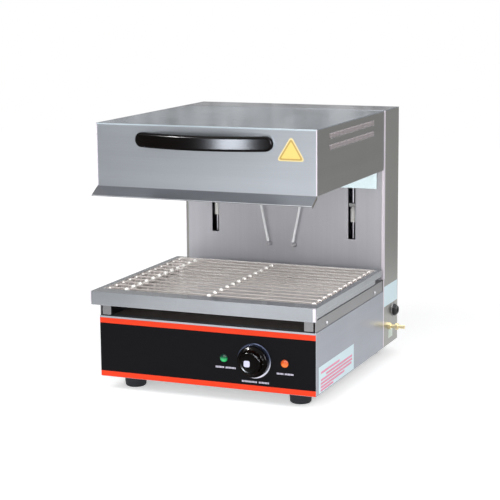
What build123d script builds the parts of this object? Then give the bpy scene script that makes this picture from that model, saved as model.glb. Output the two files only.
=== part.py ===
"""Cheese melter: a counter-top grill whose heated hood slides up and down on a rear column.

Frame: millimetres, +Z up, front towards -Y. The hood is at the top of its travel. The pieces
are modelled about the middle of the footprint, and written with the origin on the counter,
under the centre of the front left foot.
"""

import math
import os

from build123d import *

# ---------------------------------------------------------------- driving dimensions
WIDTH = 450.0
DEPTH = 500.0
HEIGHT = 525.0
FOOT_HEIGHT = 27.0
SHEET = 1.2
SCREW_HOLE = 2.0

HALF_WIDTH = WIDTH / 2
HOOD_FRONT = -DEPTH / 2
BACK = DEPTH / 2
BASE_FRONT = HOOD_FRONT - 6.0
BASE_BOTTOM = FOOT_HEIGHT
PANEL_TOP = 148.5
DECK_TOP = 139.2
RAIL_TOP = 171.2
SEAM = 3.0
COLUMN_FACE = 150.5
HOOD_BACK = COLUMN_FACE - SEAM
HOOD_BOTTOM = 403.0
TRAVEL = 115.0

# controls on the front panel
FILM = 0.4
STRIPE_HEIGHT = 10.5
FILM_TOP = 144.8
CONTROL_Z = 86.0
KNOB_X = 101.0
LAMP_SPACING = 62.0
BEZEL_RADIUS = 34.0
BEZEL_THICKNESS = 2.0
SPINDLE_RADIUS = 3.0
RUNNING_GAP = 0.05
KNOB_SKIRT_RADIUS = 30.5
KNOB_FACE_RADIUS = 20.0
KNOB_LENGTH = 22.0
KNOB_BORE = 18.5
POINTER_WIDTH = 12.0
LAMP_RADIUS = 7.0

# tray and rack
TRAY_HALF_WIDTH = 232.5
TRAY_FRONT = HOOD_FRONT - 28.4
TRAY_BACK = 118.0
TRAY_TOP = 200.4
TRAY_SKIRT = 13.0
TRAY_APRON = 26.2
TRAY_SHEET = 1.0
PAN_HALF_WIDTH = 222.0
PAN_FRONT = -246.0
PAN_BACK = 112.0
PAN_CORNER = 8.0
PAN_UNDERSIDE = RAIL_TOP + 0.3
RACK_HALF_WIDTH = 217.0
RACK_FRONT = -235.0
RACK_BACK = 86.0
RACK_WIRES = 12
RACK_WIRE_RADIUS = 1.5
RACK_BAR_RADIUS = 2.5
RACK_TOP = 202.4
RACK_BEND = 4.0
RACK_SEAT = 0.3

# hood lift
SLOT_X = 155.0
SLOT_WIDTH = 16.0
SLOT_BOTTOM = 254.5
SLOT_TOP = 508.0
ROD_RADIUS = 4.0
ROD_Y = 163.0
ROD_BOTTOM = 150.0
ROD_TOP = 512.0
ARM_WIDTH = 14.0
ARM_WALL = 2.0
ARM_TOP = 497.0
ARM_BOTTOM = 417.0
ARM_REACH = 20.0
ARM_BACK = 173.0
ARM_INNER_BOTTOM = 460.0
COLLAR_BOTTOM = 323.0
COLLAR_HEIGHT = 7.0
BUSH_BOTTOM = 290.0
STRUT_X = 105.0
STRUT_Y = 200.0

# supply leads between column and hood
LEAD_RADIUS = 2.5
LEAD_Y = 138.0
LEAD_LOWER = (28.0, 243.0)
LEAD_UPPER = (58.0, 399.0)

# hood details
APRON_HALF_WIDTH = 210.0
APRON_BOTTOM = 363.0
LIP_FORWARD = 27.5
LIP_DROP = 15.0
VENT_ROWS = (485.0, 506.5)
VENT_HEIGHT = 11.0
VENT_WIDTH = 3.2
VENT_PITCH = 8.0
VENTS_PER_ROW = 34
VENT_CENTRE_Y = -51.0
HANDLE_LENGTH = 280.0
HANDLE_HEIGHT = 28.0
HANDLE_BOW = 38.0
HANDLE_END = 7.0
HANDLE_ROUNDING = 5.0
HANDLE_Z = 496.0
REFLECTOR_RISE = 23.0
ELEMENT_RADIUS = 4.0
ELEMENT_Z = 414.0
ELEMENT_PITCH = 100.0
ELEMENT_LEG_GAP = 44.0

# feet and outlets at the back
FOOT_X = 175.0
FOOT_Y = 205.0
FOOT_RADIUS = 22.5
GLAND_Y = 222.0
GLAND_Z = 95.0
GLAND_BODY_RADIUS = 8.0
GLAND_BORE_RADIUS = 5.0
STUD_Y = 187.0
STUD_Z = 67.0
STUD_RADIUS = 4.0
STUD_END = 261.0
NUT_ACROSS = 13.0
NUT_HEIGHT = 5.5

OUT = "parts"


# ---------------------------------------------------------------- shared helpers
def span(x0, x1, y0, y1, z0, z1):
    """A block given by its limits along X, Y and Z."""
    size = (x1 - x0, y1 - y0, z1 - z0)
    return Pos((x0 + x1) / 2, (y0 + y1) / 2, (z0 + z1) / 2) * Box(*size)


def along_x(outline, x0, x1):
    """Extrude an outline of (y, z) points from x0 to x1."""
    return extrude(Plane.YZ.offset(x0) * Polygon(*outline, align=None), x1 - x0, dir=(1, 0, 0))


def along_y(outline, y0, y1):
    """Extrude an outline of (x, z) points from y0 to y1."""
    return extrude(Plane.XZ.offset(-y0) * Polygon(*outline, align=None), y1 - y0, dir=(0, 1, 0))


def along_z(outline, z0, z1):
    """Extrude an outline of (x, y) points from z0 to z1."""
    return extrude(Plane.XY.offset(z0) * Polygon(*outline, align=None), z1 - z0, dir=(0, 0, 1))


def folded(path, thickness):
    """Outline of a folded sheet: the path, and its copy at a thickness to the left of it."""
    normals = []
    for (ax, ay), (bx, by) in zip(path, path[1:]):
        length = math.hypot(bx - ax, by - ay)
        normals.append((-(by - ay) / length, (bx - ax) / length))
    other_side = []
    for i, (x, y) in enumerate(path):
        before = normals[max(i - 1, 0)]
        after = normals[min(i, len(normals) - 1)]
        share = thickness / (1 + before[0] * after[0] + before[1] * after[1])
        other_side.append((x + share * (before[0] + after[0]), y + share * (before[1] + after[1])))
    return path + other_side[::-1]


def rod(axis, start, length, radius):
    """A cylinder from a start point, along +X, +Y or +Z."""
    turn = {"X": (0, 90, 0), "Y": (-90, 0, 0), "Z": (0, 0, 0)}[axis]
    upright = Cylinder(radius, length, align=(Align.CENTER, Align.CENTER, Align.MIN))
    return Pos(*start) * Rot(*turn) * upright


def turned(axis, start, profile):
    """A revolved piece from (radius, distance) points, its axis along +X, +Y, -Y or +Z."""
    turn = {"X": (0, 90, 0), "Y": (-90, 0, 0), "-Y": (90, 0, 0), "Z": (0, 0, 0)}[axis]
    face = Plane.XZ * Polygon(*profile, align=None)
    return Pos(*start) * Rot(*turn) * revolve(face, Axis.Z)


def hexagon(axis, start, across, length, hole=0.0):
    """A hexagonal nut or flange, with a round hole when one is given."""
    turn = {"X": (0, 90, 0), "Y": (-90, 0, 0), "Z": (0, 0, 0)}[axis]
    face = RegularPolygon(across / 2, 6, major_radius=False)
    if hole:
        face -= Circle(hole)
    return Pos(*start) * Rot(*turn) * extrude(face, length)


def pan_screw(axis, start, head_radius, head_height, shank):
    """A pan-head screw whose head stands out along an axis from its seat at the start."""
    radius = head_radius * 0.5
    profile = [
        (0, -shank),
        (radius, -shank),
        (radius, 0),
        (head_radius, 0),
        (head_radius, head_height * 0.5),
        (head_radius * 0.7, head_height),
        (0, head_height),
    ]
    return turned(axis, start, profile) - cross_recess(axis, start, head_radius, head_height)


def cross_recess(axis, start, head_radius, head_height):
    """Two crossed slots in the middle of a screw head, for the driver."""
    turn = {"X": (0, 90, 0), "Y": (-90, 0, 0)}[axis]
    length = head_radius * 1.1
    width = head_radius * 0.24
    bars = [Box(length, width, head_height), Box(width, length, head_height)]
    return [Pos(*start) * Rot(*turn) * Pos(0, 0, head_height) * bar for bar in bars]


def wire(points, radius, bend):
    """A round wire along straight runs with equal bends between them."""
    path = FilletPolyline(*points, radius=bend)
    section = Plane(origin=path @ 0, z_dir=path % 0) * Circle(radius)
    return sweep(section, path)


def both_sides(piece):
    """The piece and its mirror image on the other side of the centre."""
    return [piece, mirror(piece, Plane.YZ)]


def group(pieces):
    """Separate solids kept together as one sub-part."""
    return Compound([solid for piece in pieces for solid in piece.solids()])


def save(name, piece):
    """Write one sub-part under its own name, with the front left foot at the origin."""
    export_step(Pos(FOOT_X, FOOT_Y, 0) * piece, f"{OUT}/{name}.step")


# ---------------------------------------------------------------- base
def base_floor():
    """Bottom plate with foot holes and rows of air slots."""
    plate = span(-223.8, 223.8, -239.5, BACK - SHEET, BASE_BOTTOM, BASE_BOTTOM + 1.5)
    holes = [Pos(x, y, BASE_BOTTOM) * Cylinder(3.3, 10) for x, y in foot_places()]
    slots = [Pos(place.position + (0, 0, BASE_BOTTOM)) * Box(34, 5, 10)
             for place in GridLocations(50, 14, 6, 3)]
    strut_holes = [Pos(x, STRUT_Y, BASE_BOTTOM) * Cylinder(4, 10) for x in (-STRUT_X, STRUT_X)]
    return plate - holes - slots - strut_holes


def foot_places():
    """Centres of the four feet."""
    return [(x, y) for x in (-FOOT_X, FOOT_X) for y in (-FOOT_Y, FOOT_Y)]


def rubber_feet():
    """Four tapered feet with a recess for the screw head."""
    profile = [
        (7, 0),
        (FOOT_RADIUS - 4.5, 0),
        (FOOT_RADIUS - 2, 2.5),
        (FOOT_RADIUS, FOOT_HEIGHT - 3),
        (FOOT_RADIUS - 1, FOOT_HEIGHT),
        (3.3, FOOT_HEIGHT),
        (3.3, 11),
        (7, 11),
    ]
    return group([turned("Z", (x, y, 0), profile) for x, y in foot_places()])


def foot_screws():
    """Screws from the recess of each foot into the floor, with nuts above the floor."""
    pieces = []
    nut_seat = BASE_BOTTOM + 1.5
    for x, y in foot_places():
        pieces.append(turned("Z", (x, y, 0), [(0, 7), (6, 7), (6, 11), (3, 11), (3, 36), (0, 36)]))
        pieces.append(hexagon("Z", (x, y, nut_seat), 10, 5, hole=3))
    return group(pieces)


def base_side():
    """Right side panel of the base, in front of the column."""
    return span(HALF_WIDTH - SHEET, HALF_WIDTH, BASE_FRONT + SHEET, COLUMN_FACE, BASE_BOTTOM, PANEL_TOP)


def rail():
    """Right tray rail: an angle above the side panel, with a tab at the front."""
    outer = HALF_WIDTH - SHEET
    shelf = folded([(outer, 135), (outer, RAIL_TOP), (201, RAIL_TOP)], SHEET)
    front = BASE_FRONT + SHEET
    tab = span(201, 219, front, front + SHEET, 150.5, RAIL_TOP - SHEET)
    holes = [rod("X", (x - 3, y, z), 6, SCREW_HOLE) for x, y, z in rail_screw_places()]
    return along_y(shelf, front, COLUMN_FACE) + tab - holes


def rail_screw_places():
    """Seats of the two screws in the right rail."""
    return [(HALF_WIDTH - SHEET, y, 156) for y in (-195, 95)]


def rail_screws():
    """Screws that hold each rail, two a side."""
    pieces = []
    for place in rail_screw_places():
        pieces += both_sides(pan_screw("X", place, 3.5, 2.2, 6))
    return group(pieces)


def front_panel():
    """Control panel with a bent top and bottom edge and holes for the controls."""
    inner = BASE_FRONT + SHEET
    panel = span(-HALF_WIDTH, HALF_WIDTH, BASE_FRONT, inner, BASE_BOTTOM, PANEL_TOP)
    top = span(-221.5, 221.5, inner, inner + 18, PANEL_TOP - SHEET, PANEL_TOP)
    bottom = span(-221.5, 221.5, inner, -240, BASE_BOTTOM, BASE_BOTTOM + SHEET)
    return panel + top + bottom - control_holes(5.6, 6.1)


def control_holes(spindle, lamp):
    """Cutters for the spindle and the two lamps."""
    start = BASE_FRONT - 5
    holes = [rod("Y", (KNOB_X, start, CONTROL_Z), 12, spindle)]
    for x in lamp_places():
        holes.append(rod("Y", (x, start, CONTROL_Z), 12, lamp))
    return holes


def lamp_places():
    """X of the green lamp and of the orange lamp."""
    return (KNOB_X - LAMP_SPACING, KNOB_X + LAMP_SPACING)


def panel_film():
    """Thin black overlay between the two stripes."""
    bottom = BASE_BOTTOM + 0.5 + STRIPE_HEIGHT
    top = FILM_TOP - STRIPE_HEIGHT
    film = span(-224.5, 224.5, BASE_FRONT - FILM, BASE_FRONT, bottom, top)
    return film - control_holes(5.6, 6.1)


def panel_stripes():
    """Coloured stripes along the top and the bottom of the panel."""
    starts = (BASE_BOTTOM + 0.5, FILM_TOP - STRIPE_HEIGHT)
    return group([span(-224.5, 224.5, BASE_FRONT - FILM, BASE_FRONT, z, z + STRIPE_HEIGHT) for z in starts])


def deck_plate():
    """Plate that closes the electrical space under the tray."""
    return span(-222.6, 222.6, -236, COLUMN_FACE, DECK_TOP - SHEET, DECK_TOP)


# ---------------------------------------------------------------- controls
def dial_bezel():
    """Bright ring plate round the knob."""
    front = BASE_FRONT - FILM
    profile = [
        (8, 0),
        (BEZEL_RADIUS, 0),
        (BEZEL_RADIUS, 1.2),
        (BEZEL_RADIUS - 1.5, BEZEL_THICKNESS),
        (8, BEZEL_THICKNESS),
    ]
    return turned("-Y", (KNOB_X, front, CONTROL_Z), profile)


def knob_seat():
    """Y of the knob's back face, clear of the bezel."""
    return BASE_FRONT - FILM - BEZEL_THICKNESS - 0.6


def control_knob():
    """Round knob: a wide cup behind, a fluted grip and a closed flat face."""
    profile = [
        (SPINDLE_RADIUS, 0),
        (KNOB_SKIRT_RADIUS - 4, 0),
        (KNOB_SKIRT_RADIUS - 0.5, 4.5),
        (KNOB_SKIRT_RADIUS, 6),
        (KNOB_SKIRT_RADIUS, 9),
        (KNOB_SKIRT_RADIUS - 1, 10.5),
        (KNOB_FACE_RADIUS + 4, 13),
        (KNOB_FACE_RADIUS + 1.5, KNOB_LENGTH - 2),
        (KNOB_FACE_RADIUS, KNOB_LENGTH),
        (0, KNOB_LENGTH),
        (0, KNOB_BORE),
        (SPINDLE_RADIUS, KNOB_BORE),
    ]
    seat = (KNOB_X, knob_seat(), CONTROL_Z)
    knob = turned("-Y", seat, profile)
    flute_ring = KNOB_FACE_RADIUS + 7.5
    for place in PolarLocations(flute_ring, 12, start_angle=15):
        x, z, _ = place.position
        start = (KNOB_X + x, knob_seat() - KNOB_LENGTH - 1, CONTROL_Z + z)
        knob -= rod("Y", start, KNOB_LENGTH - 12, 5)
    return knob - knob_pointer()


def pointer_place():
    """Centre of the square pointer inset in the knob's face."""
    return (KNOB_X - 11.6, knob_seat() - KNOB_LENGTH + 1, CONTROL_Z)


def knob_pointer():
    """Light square inset that shows the knob's setting."""
    return Pos(*pointer_place()) * Box(POINTER_WIDTH, 2, POINTER_WIDTH)


def regulator_spindle():
    """Shaft that the knob turns."""
    front = knob_seat() - KNOB_BORE + 0.5
    return rod("Y", (KNOB_X, front, CONTROL_Z), -front - 226, SPINDLE_RADIUS)


def energy_regulator():
    """Heat control behind the panel: a moulded body on a threaded neck."""
    neck_start = BASE_FRONT + SHEET
    neck = rod("Y", (KNOB_X, BASE_FRONT, CONTROL_Z), 8, 5)
    body = Pos(KNOB_X, neck_start + 22, CONTROL_Z) * Box(42, 34, 46)
    body = fillet(body.edges().filter_by(Axis.Y), 3)
    bore = rod("Y", (KNOB_X, BASE_FRONT - 1, CONTROL_Z), 31.5, SPINDLE_RADIUS + RUNNING_GAP)
    tabs = [Pos(KNOB_X + x, neck_start + 42, CONTROL_Z + z) * Box(6.3, 8, 0.8)
            for x in (-12, 12) for z in (-12, 0, 12)]
    regulator = neck + body
    for tab in tabs:
        regulator += tab
    return regulator - bore


def lamp_lens(x):
    """Domed lens with a rim that seats on the panel."""
    profile = [(0, 0), (8.5, 0), (8.5, 1), (LAMP_RADIUS, 1.4), (LAMP_RADIUS * 0.9, 3.4),
               (LAMP_RADIUS * 0.6, 5.2), (0, 6)]
    return turned("-Y", (x, BASE_FRONT - FILM, CONTROL_Z), profile)


def lamp_bodies():
    """Lamp bodies behind the lenses, held by a nut behind the panel."""
    pieces = []
    for x in lamp_places():
        body = rod("Y", (x, BASE_FRONT - FILM, CONTROL_Z), 32, 5.5)
        nut = hexagon("Y", (x, BASE_FRONT + SHEET, CONTROL_Z), 15, 3)
        pieces.append(body + nut)
    return group(pieces)


def terminal_block():
    """Supply terminals on the floor of the base."""
    outline = [(0, 0), (30, 0), (30, 10), (24, 10), (24, 20), (6, 20), (6, 10), (0, 10)]
    block = along_x([(110 + y, BASE_BOTTOM + 1.5 + z) for y, z in outline], 60, 120)
    wells = [Pos(x, 125, BASE_BOTTOM + 19) * Cylinder(3, 8) for x in (70, 90, 110)]
    return block - wells


# ---------------------------------------------------------------- column
def column_front():
    """Front plate of the column with a guide slot for each hood arm."""
    plate = span(-219, 219, COLUMN_FACE, COLUMN_FACE + SHEET, DECK_TOP, HEIGHT - SHEET)
    for x in (-SLOT_X, SLOT_X):
        plate -= span(x - SLOT_WIDTH / 2, x + SLOT_WIDTH / 2, COLUMN_FACE - 1, COLUMN_FACE + 3,
                      SLOT_BOTTOM, SLOT_TOP)
    holes = [rod("Y", (x, COLUMN_FACE - 1, LEAD_LOWER[1] - 7), 5, 5) for x in (-LEAD_LOWER[0], LEAD_LOWER[0])]
    return plate - holes


def column_side():
    """Right side of the column, folded round to the front; it runs down to the floor."""
    path = [(HALF_WIDTH, BACK), (HALF_WIDTH, COLUMN_FACE), (219, COLUMN_FACE)]
    side = along_z(folded(path, -SHEET), DECK_TOP, HEIGHT - SHEET)
    lower = span(HALF_WIDTH - SHEET, HALF_WIDTH, COLUMN_FACE, BACK, BASE_BOTTOM, DECK_TOP)
    return side + lower


def column_right_side():
    """Right side of the column, with holes for the cable gland and the earth stud."""
    gland_hole = rod("X", (HALF_WIDTH - 5, GLAND_Y, GLAND_Z), 10, GLAND_BODY_RADIUS)
    stud_hole = rod("X", (HALF_WIDTH - 5, STUD_Y, STUD_Z), 10, STUD_RADIUS)
    return column_side() - gland_hole - stud_hole


def column_top():
    """Top plate of the column."""
    return span(-HALF_WIDTH, HALF_WIDTH, COLUMN_FACE, BACK, HEIGHT - SHEET, HEIGHT)


def rear_cover():
    """Removable back with two fields of air slots."""
    cover = span(-223.8, 223.8, BACK - SHEET, BACK, BASE_BOTTOM, HEIGHT - SHEET)
    for z in (90, 440):
        cover -= [Pos(place.position.X, BACK, z + place.position.Y) * Box(46, 5, 5)
                  for place in GridLocations(64, 14, 4, 4)]
    return cover - [rod("Y", (x, y - 5, z), 10, SCREW_HOLE) for x, y, z in cover_screw_places()]


def cover_screw_places():
    """Seats of the screws round the edge of the back."""
    places = [(x, BACK, z) for x in (-215, 215) for z in (45, 270, 505)]
    return places + [(0, BACK, z) for z in (36, 514)]


def cover_screws():
    """Screws round the edge of the back."""
    return group([pan_screw("Y", place, 3.5, 2.2, 8) for place in cover_screw_places()])


def guide_rod():
    """Polished rod behind the right slot."""
    return rod("Z", (SLOT_X, ROD_Y, ROD_BOTTOM), ROD_TOP - ROD_BOTTOM, ROD_RADIUS)


def rod_brackets():
    """Angles on the column's front plate that carry the rod ends."""
    inside = COLUMN_FACE + SHEET
    lower = [(inside, ROD_BOTTOM - 25), (inside, ROD_BOTTOM), (inside + 24, ROD_BOTTOM)]
    upper = [(inside + 24, ROD_TOP), (inside, ROD_TOP), (inside, ROD_TOP + 11)]
    pieces = []
    for path in (lower, upper):
        pieces += both_sides(along_x(folded(path, -3), SLOT_X - 15, SLOT_X + 15))
    return group(pieces)


def strut_cylinders():
    """Lower halves of the two balance struts, bolted to the floor."""
    bore = ROD_RADIUS + RUNNING_GAP
    profile = [(0, 0), (4, 0), (4, 33), (9, 36), (9, 270), (7, 273), (bore, 273), (bore, 100), (0, 100)]
    return group(both_sides(turned("Z", (STRUT_X, STRUT_Y, BASE_BOTTOM), profile)))


def column_lead_bushes():
    """Bushes where the supply leads leave the column."""
    length = COLUMN_FACE - LEAD_Y + 7
    profile = [(0, -SHEET), (5, -SHEET), (5, 0), (8, 0), (8, 2), (7, 3), (7, length - 2), (5, length), (0, length)]
    place = (LEAD_LOWER[0], COLUMN_FACE, LEAD_LOWER[1] - 7)
    return group(both_sides(turned("-Y", place, profile)))


def cable_gland():
    """Strain relief for the supply cable, with its lock nut inside the wall."""
    wall = HALF_WIDTH
    bore = GLAND_BORE_RADIUS
    body = turned("X", (wall, GLAND_Y, GLAND_Z), [
        (bore, -14), (GLAND_BODY_RADIUS, -14), (GLAND_BODY_RADIUS, 0), (10, 0), (10, 7), (7.5, 10), (bore, 10)])
    flange = hexagon("X", (wall, GLAND_Y, GLAND_Z), 22, 5, hole=GLAND_BODY_RADIUS)
    nut = hexagon("X", (wall - SHEET - 4, GLAND_Y, GLAND_Z), 22, 4, hole=GLAND_BODY_RADIUS)
    return group([body + flange, nut])


def bonding_stud():
    """Earth bonding stud through the right side of the column."""
    return rod("X", (HALF_WIDTH - 15, STUD_Y, STUD_Z), STUD_END - HALF_WIDTH + 15, STUD_RADIUS)


def bonding_nuts():
    """Nuts on the bonding stud, one inside the wall and two outside."""
    starts = (HALF_WIDTH - SHEET - NUT_HEIGHT, HALF_WIDTH, HALF_WIDTH + 16)
    return group([hexagon("X", (x, STUD_Y, STUD_Z), NUT_ACROSS, NUT_HEIGHT, hole=STUD_RADIUS) for x in starts])


# ---------------------------------------------------------------- hood
def hood_top():
    """Top plate of the hood."""
    return span(-HALF_WIDTH, HALF_WIDTH, HOOD_FRONT, HOOD_BACK, HEIGHT - SHEET, HEIGHT)


def hood_front():
    """Front of the hood with a lip that flares forward at the bottom."""
    path = [
        (HOOD_FRONT, HEIGHT - SHEET),
        (HOOD_FRONT, HOOD_BOTTOM),
        (HOOD_FRONT - LIP_FORWARD, HOOD_BOTTOM - LIP_DROP),
    ]
    front = along_x(folded(path, SHEET), -HALF_WIDTH, HALF_WIDTH)
    return front - [rod("Y", (x, HOOD_FRONT - 3, HANDLE_Z), 6, 2.4) for x in handle_screw_places()]


def hood_side():
    """Right side of the hood with two rows of upright vents and a folded bottom edge."""
    path = [(HALF_WIDTH, HEIGHT - SHEET), (HALF_WIDTH, HOOD_BOTTOM), (205, HOOD_BOTTOM)]
    side = along_y(folded(path, -SHEET), HOOD_FRONT + SHEET, HOOD_BACK - SHEET)
    for z in VENT_ROWS:
        side -= [Pos(HALF_WIDTH, VENT_CENTRE_Y + place.position.X, z) * Box(5, VENT_WIDTH, VENT_HEIGHT)
                 for place in GridLocations(VENT_PITCH, 1, VENTS_PER_ROW, 1)]
    return side


def hood_rear():
    """Back of the hood with a folded bottom edge and a window for each arm."""
    rear = span(-HALF_WIDTH, HALF_WIDTH, HOOD_BACK - SHEET, HOOD_BACK, HOOD_BOTTOM, HEIGHT - SHEET)
    rear += span(-204, 204, 127, HOOD_BACK - SHEET, HOOD_BOTTOM, HOOD_BOTTOM + SHEET)
    for x in (-SLOT_X, SLOT_X):
        rear -= span(x - 7, x + 7, HOOD_BACK - 3, HOOD_BACK + 1, ARM_BOTTOM, ARM_TOP)
    return rear


def hood_apron():
    """Skirt plate that hangs from the back of the hood."""
    return span(-APRON_HALF_WIDTH, APRON_HALF_WIDTH, HOOD_BACK, HOOD_BACK + SHEET, APRON_BOTTOM, ARM_BOTTOM - 2)


def reflector():
    """Bright inverted pan above the heating elements, with a rim that closes the hood."""
    rim_z = HOOD_BOTTOM + SHEET
    rim = span(-223.8, 223.8, HOOD_FRONT + SHEET, HOOD_BACK - SHEET, rim_z, rim_z + 1)
    centre_y = -52.0
    outer = pyramid(402, 352, centre_y, rim_z, REFLECTOR_RISE)
    inner = pyramid(400, 350, centre_y, rim_z, REFLECTOR_RISE - 1)
    pan = rim + outer - inner
    return pan - [rod("X", (182, y, ELEMENT_Z), 20, 6.4) for y in element_ends()]


def pyramid(width, depth, centre_y, z, rise):
    """A block whose four sides lean in at 45 degrees."""
    base = Plane.XY.offset(z) * Pos(0, centre_y) * Rectangle(width, depth)
    return extrude(base, rise, taper=45)


def insulation():
    """Mineral wool slab on top of the reflector."""
    bottom = HOOD_BOTTOM + SHEET + REFLECTOR_RISE
    return span(-170, 170, -195, 90, bottom, ARM_INNER_BOTTOM - 2)


def heating_element(centre_y):
    """A sheathed element bent into a hairpin, its two ends at the right."""
    half_gap = ELEMENT_LEG_GAP / 2
    points = [
        (196, centre_y - half_gap, ELEMENT_Z),
        (-180, centre_y - half_gap, ELEMENT_Z),
        (-180, centre_y + half_gap, ELEMENT_Z),
        (196, centre_y + half_gap, ELEMENT_Z),
    ]
    return wire(points, ELEMENT_RADIUS, half_gap - 2)


def element_places():
    """Centre Y of the three hairpins."""
    return {"front_element": -52 - ELEMENT_PITCH, "middle_element": -52, "rear_element": -52 + ELEMENT_PITCH}


def element_ends():
    """Y of every straight leg of the hairpins."""
    half_gap = ELEMENT_LEG_GAP / 2
    return [centre + side for centre in element_places().values() for side in (-half_gap, half_gap)]


def element_hangers():
    """Notched strips under the reflector that carry the hairpins."""
    top = HOOD_BOTTOM + SHEET + REFLECTOR_RISE - 1
    strips = []
    for x in (-120, 120):
        strip = span(x - 0.8, x + 0.8, -202, 98, ELEMENT_Z - 7, top)
        strips.append(strip - [rod("X", (x - 5, y, ELEMENT_Z), 10, ELEMENT_RADIUS) for y in element_ends()])
    return group(strips)


def element_terminals():
    """Ceramic ends of the hairpins with their connection pins."""
    profile = [(0, 0), (6, 0), (6, 10), (2, 10), (2, 20), (0, 20)]
    return group([turned("X", (196, y, ELEMENT_Z), profile) for y in element_ends()])


def handle():
    """Moulded bow handle with rounded ends and rounded edges."""
    half = HANDLE_LENGTH / 2
    pad = 24.0
    grip = 15.0
    outer = ThreePointArc((-half, -HANDLE_END), (0, -HANDLE_BOW), (half, -HANDLE_END))
    inner = ThreePointArc((half - pad, 0), (0, grip - HANDLE_BOW), (pad - half, 0))
    right = Polyline((half, -HANDLE_END), (half, 0), (half - pad, 0))
    left = Polyline((pad - half, 0), (-half, 0), (-half, -HANDLE_END))
    plan = make_face([outer, right, inner, left])
    bottom = HANDLE_Z - HANDLE_HEIGHT / 2
    bow = extrude(Plane.XY.offset(bottom) * Pos(0, HOOD_FRONT) * plan, HANDLE_HEIGHT)
    face = Plane.XZ.offset(-HOOD_FRONT) * Pos(0, HANDLE_Z) * SlotOverall(HANDLE_LENGTH, HANDLE_HEIGHT)
    bow &= extrude(face, HANDLE_BOW + 5)
    free_edges = [edge for edge in bow.edges() if edge.bounding_box().min.Y < HOOD_FRONT - 0.01]
    return fillet(free_edges, HANDLE_ROUNDING)


def handle_screw_places():
    """X of the screws in the handle's ends."""
    return (13 - HANDLE_LENGTH / 2, HANDLE_LENGTH / 2 - 13)


def handle_screws():
    """Screws from inside the hood into the ends of the handle."""
    seat = HOOD_FRONT + SHEET
    return group([pan_screw("Y", (x, seat, HANDLE_Z), 4.5, 3, SHEET) for x in handle_screw_places()])


def hood_arm():
    """Right arm: a channel round the guide rod that reaches through the slot into the hood."""
    left = SLOT_X - ARM_WIDTH / 2
    right = SLOT_X + ARM_WIDTH / 2
    outline = [
        (ARM_BACK, ARM_BOTTOM),
        (ARM_BACK, ARM_TOP),
        (ARM_REACH, ARM_TOP),
        (ARM_REACH, ARM_INNER_BOTTOM),
        (126, ARM_INNER_BOTTOM),
        (126, ARM_BOTTOM),
    ]
    cheeks = [along_x(outline, left, left + ARM_WALL), along_x(outline, right - ARM_WALL, right)]
    web = span(left, right, ARM_BACK, ARM_BACK + ARM_WALL, COLLAR_BOTTOM, ARM_TOP)
    front = COLUMN_FACE + SHEET + 1
    collar = span(left, right, front, ARM_BACK, COLLAR_BOTTOM, COLLAR_BOTTOM + COLLAR_HEIGHT)
    cap = span(left + ARM_WALL, right - ARM_WALL, front, ARM_BACK, ARM_TOP - 3, ARM_TOP)
    arm = cheeks[0] + cheeks[1] + web + collar + cap
    return arm - rod("Z", (SLOT_X, ROD_Y, COLLAR_BOTTOM - 5), 200, ROD_RADIUS + 0.7)


def carriage_bushes():
    """Nylon bushes that run on the guide rods, a long one below and a short one above."""
    bore = ROD_RADIUS + RUNNING_GAP
    below = COLLAR_BOTTOM - BUSH_BOTTOM
    lower = [(bore, 0), (6.5, 0), (6.5, below - 6), (5, below - 5), (5, below), (bore, below)]
    upper_bottom = ARM_TOP - 17
    upper = [(bore, 0), (4.9, 0), (4.9, 14), (bore, 14)]
    pieces = both_sides(turned("Z", (SLOT_X, ROD_Y, BUSH_BOTTOM), lower))
    pieces += both_sides(turned("Z", (SLOT_X, ROD_Y, upper_bottom), upper))
    return group(pieces)


def crossbar():
    """Angle behind the arms that ties them together and takes the struts."""
    back = ARM_BACK + ARM_WALL
    outline = [
        (back, ARM_INNER_BOTTOM),
        (STRUT_Y + 12, ARM_INNER_BOTTOM),
        (STRUT_Y + 12, ARM_INNER_BOTTOM + 3),
        (back + 3, ARM_INNER_BOTTOM + 3),
        (back + 3, ARM_TOP),
        (back, ARM_TOP),
    ]
    return along_x(outline, -170, 170)


def strut_rods():
    """Sliding halves of the balance struts."""
    bottom = 286.0
    length = ARM_INNER_BOTTOM - bottom
    return group(both_sides(rod("Z", (STRUT_X, STRUT_Y, bottom), length, ROD_RADIUS)))


def supply_leads():
    """Sleeved leads from the column to the hood, drawn nearly straight at the top of the travel."""
    (x0, z0), (x1, z1) = LEAD_LOWER, LEAD_UPPER
    lower = Plane.XY.offset(z0) * Pos(x0, LEAD_Y) * Circle(LEAD_RADIUS)
    upper = Plane.XY.offset(z1) * Pos(x1, LEAD_Y) * Circle(LEAD_RADIUS)
    return group(both_sides(loft([lower, upper], ruled=True)))


def hood_lead_bushes():
    """Bushes where the leads enter the underside of the hood."""
    profile = [(0, 0), (5, 0), (6.5, 1.5), (6.5, 4), (0, 4)]
    place = (LEAD_UPPER[0], LEAD_Y, HOOD_BOTTOM - 4)
    return group(both_sides(turned("Z", place, profile)))


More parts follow.
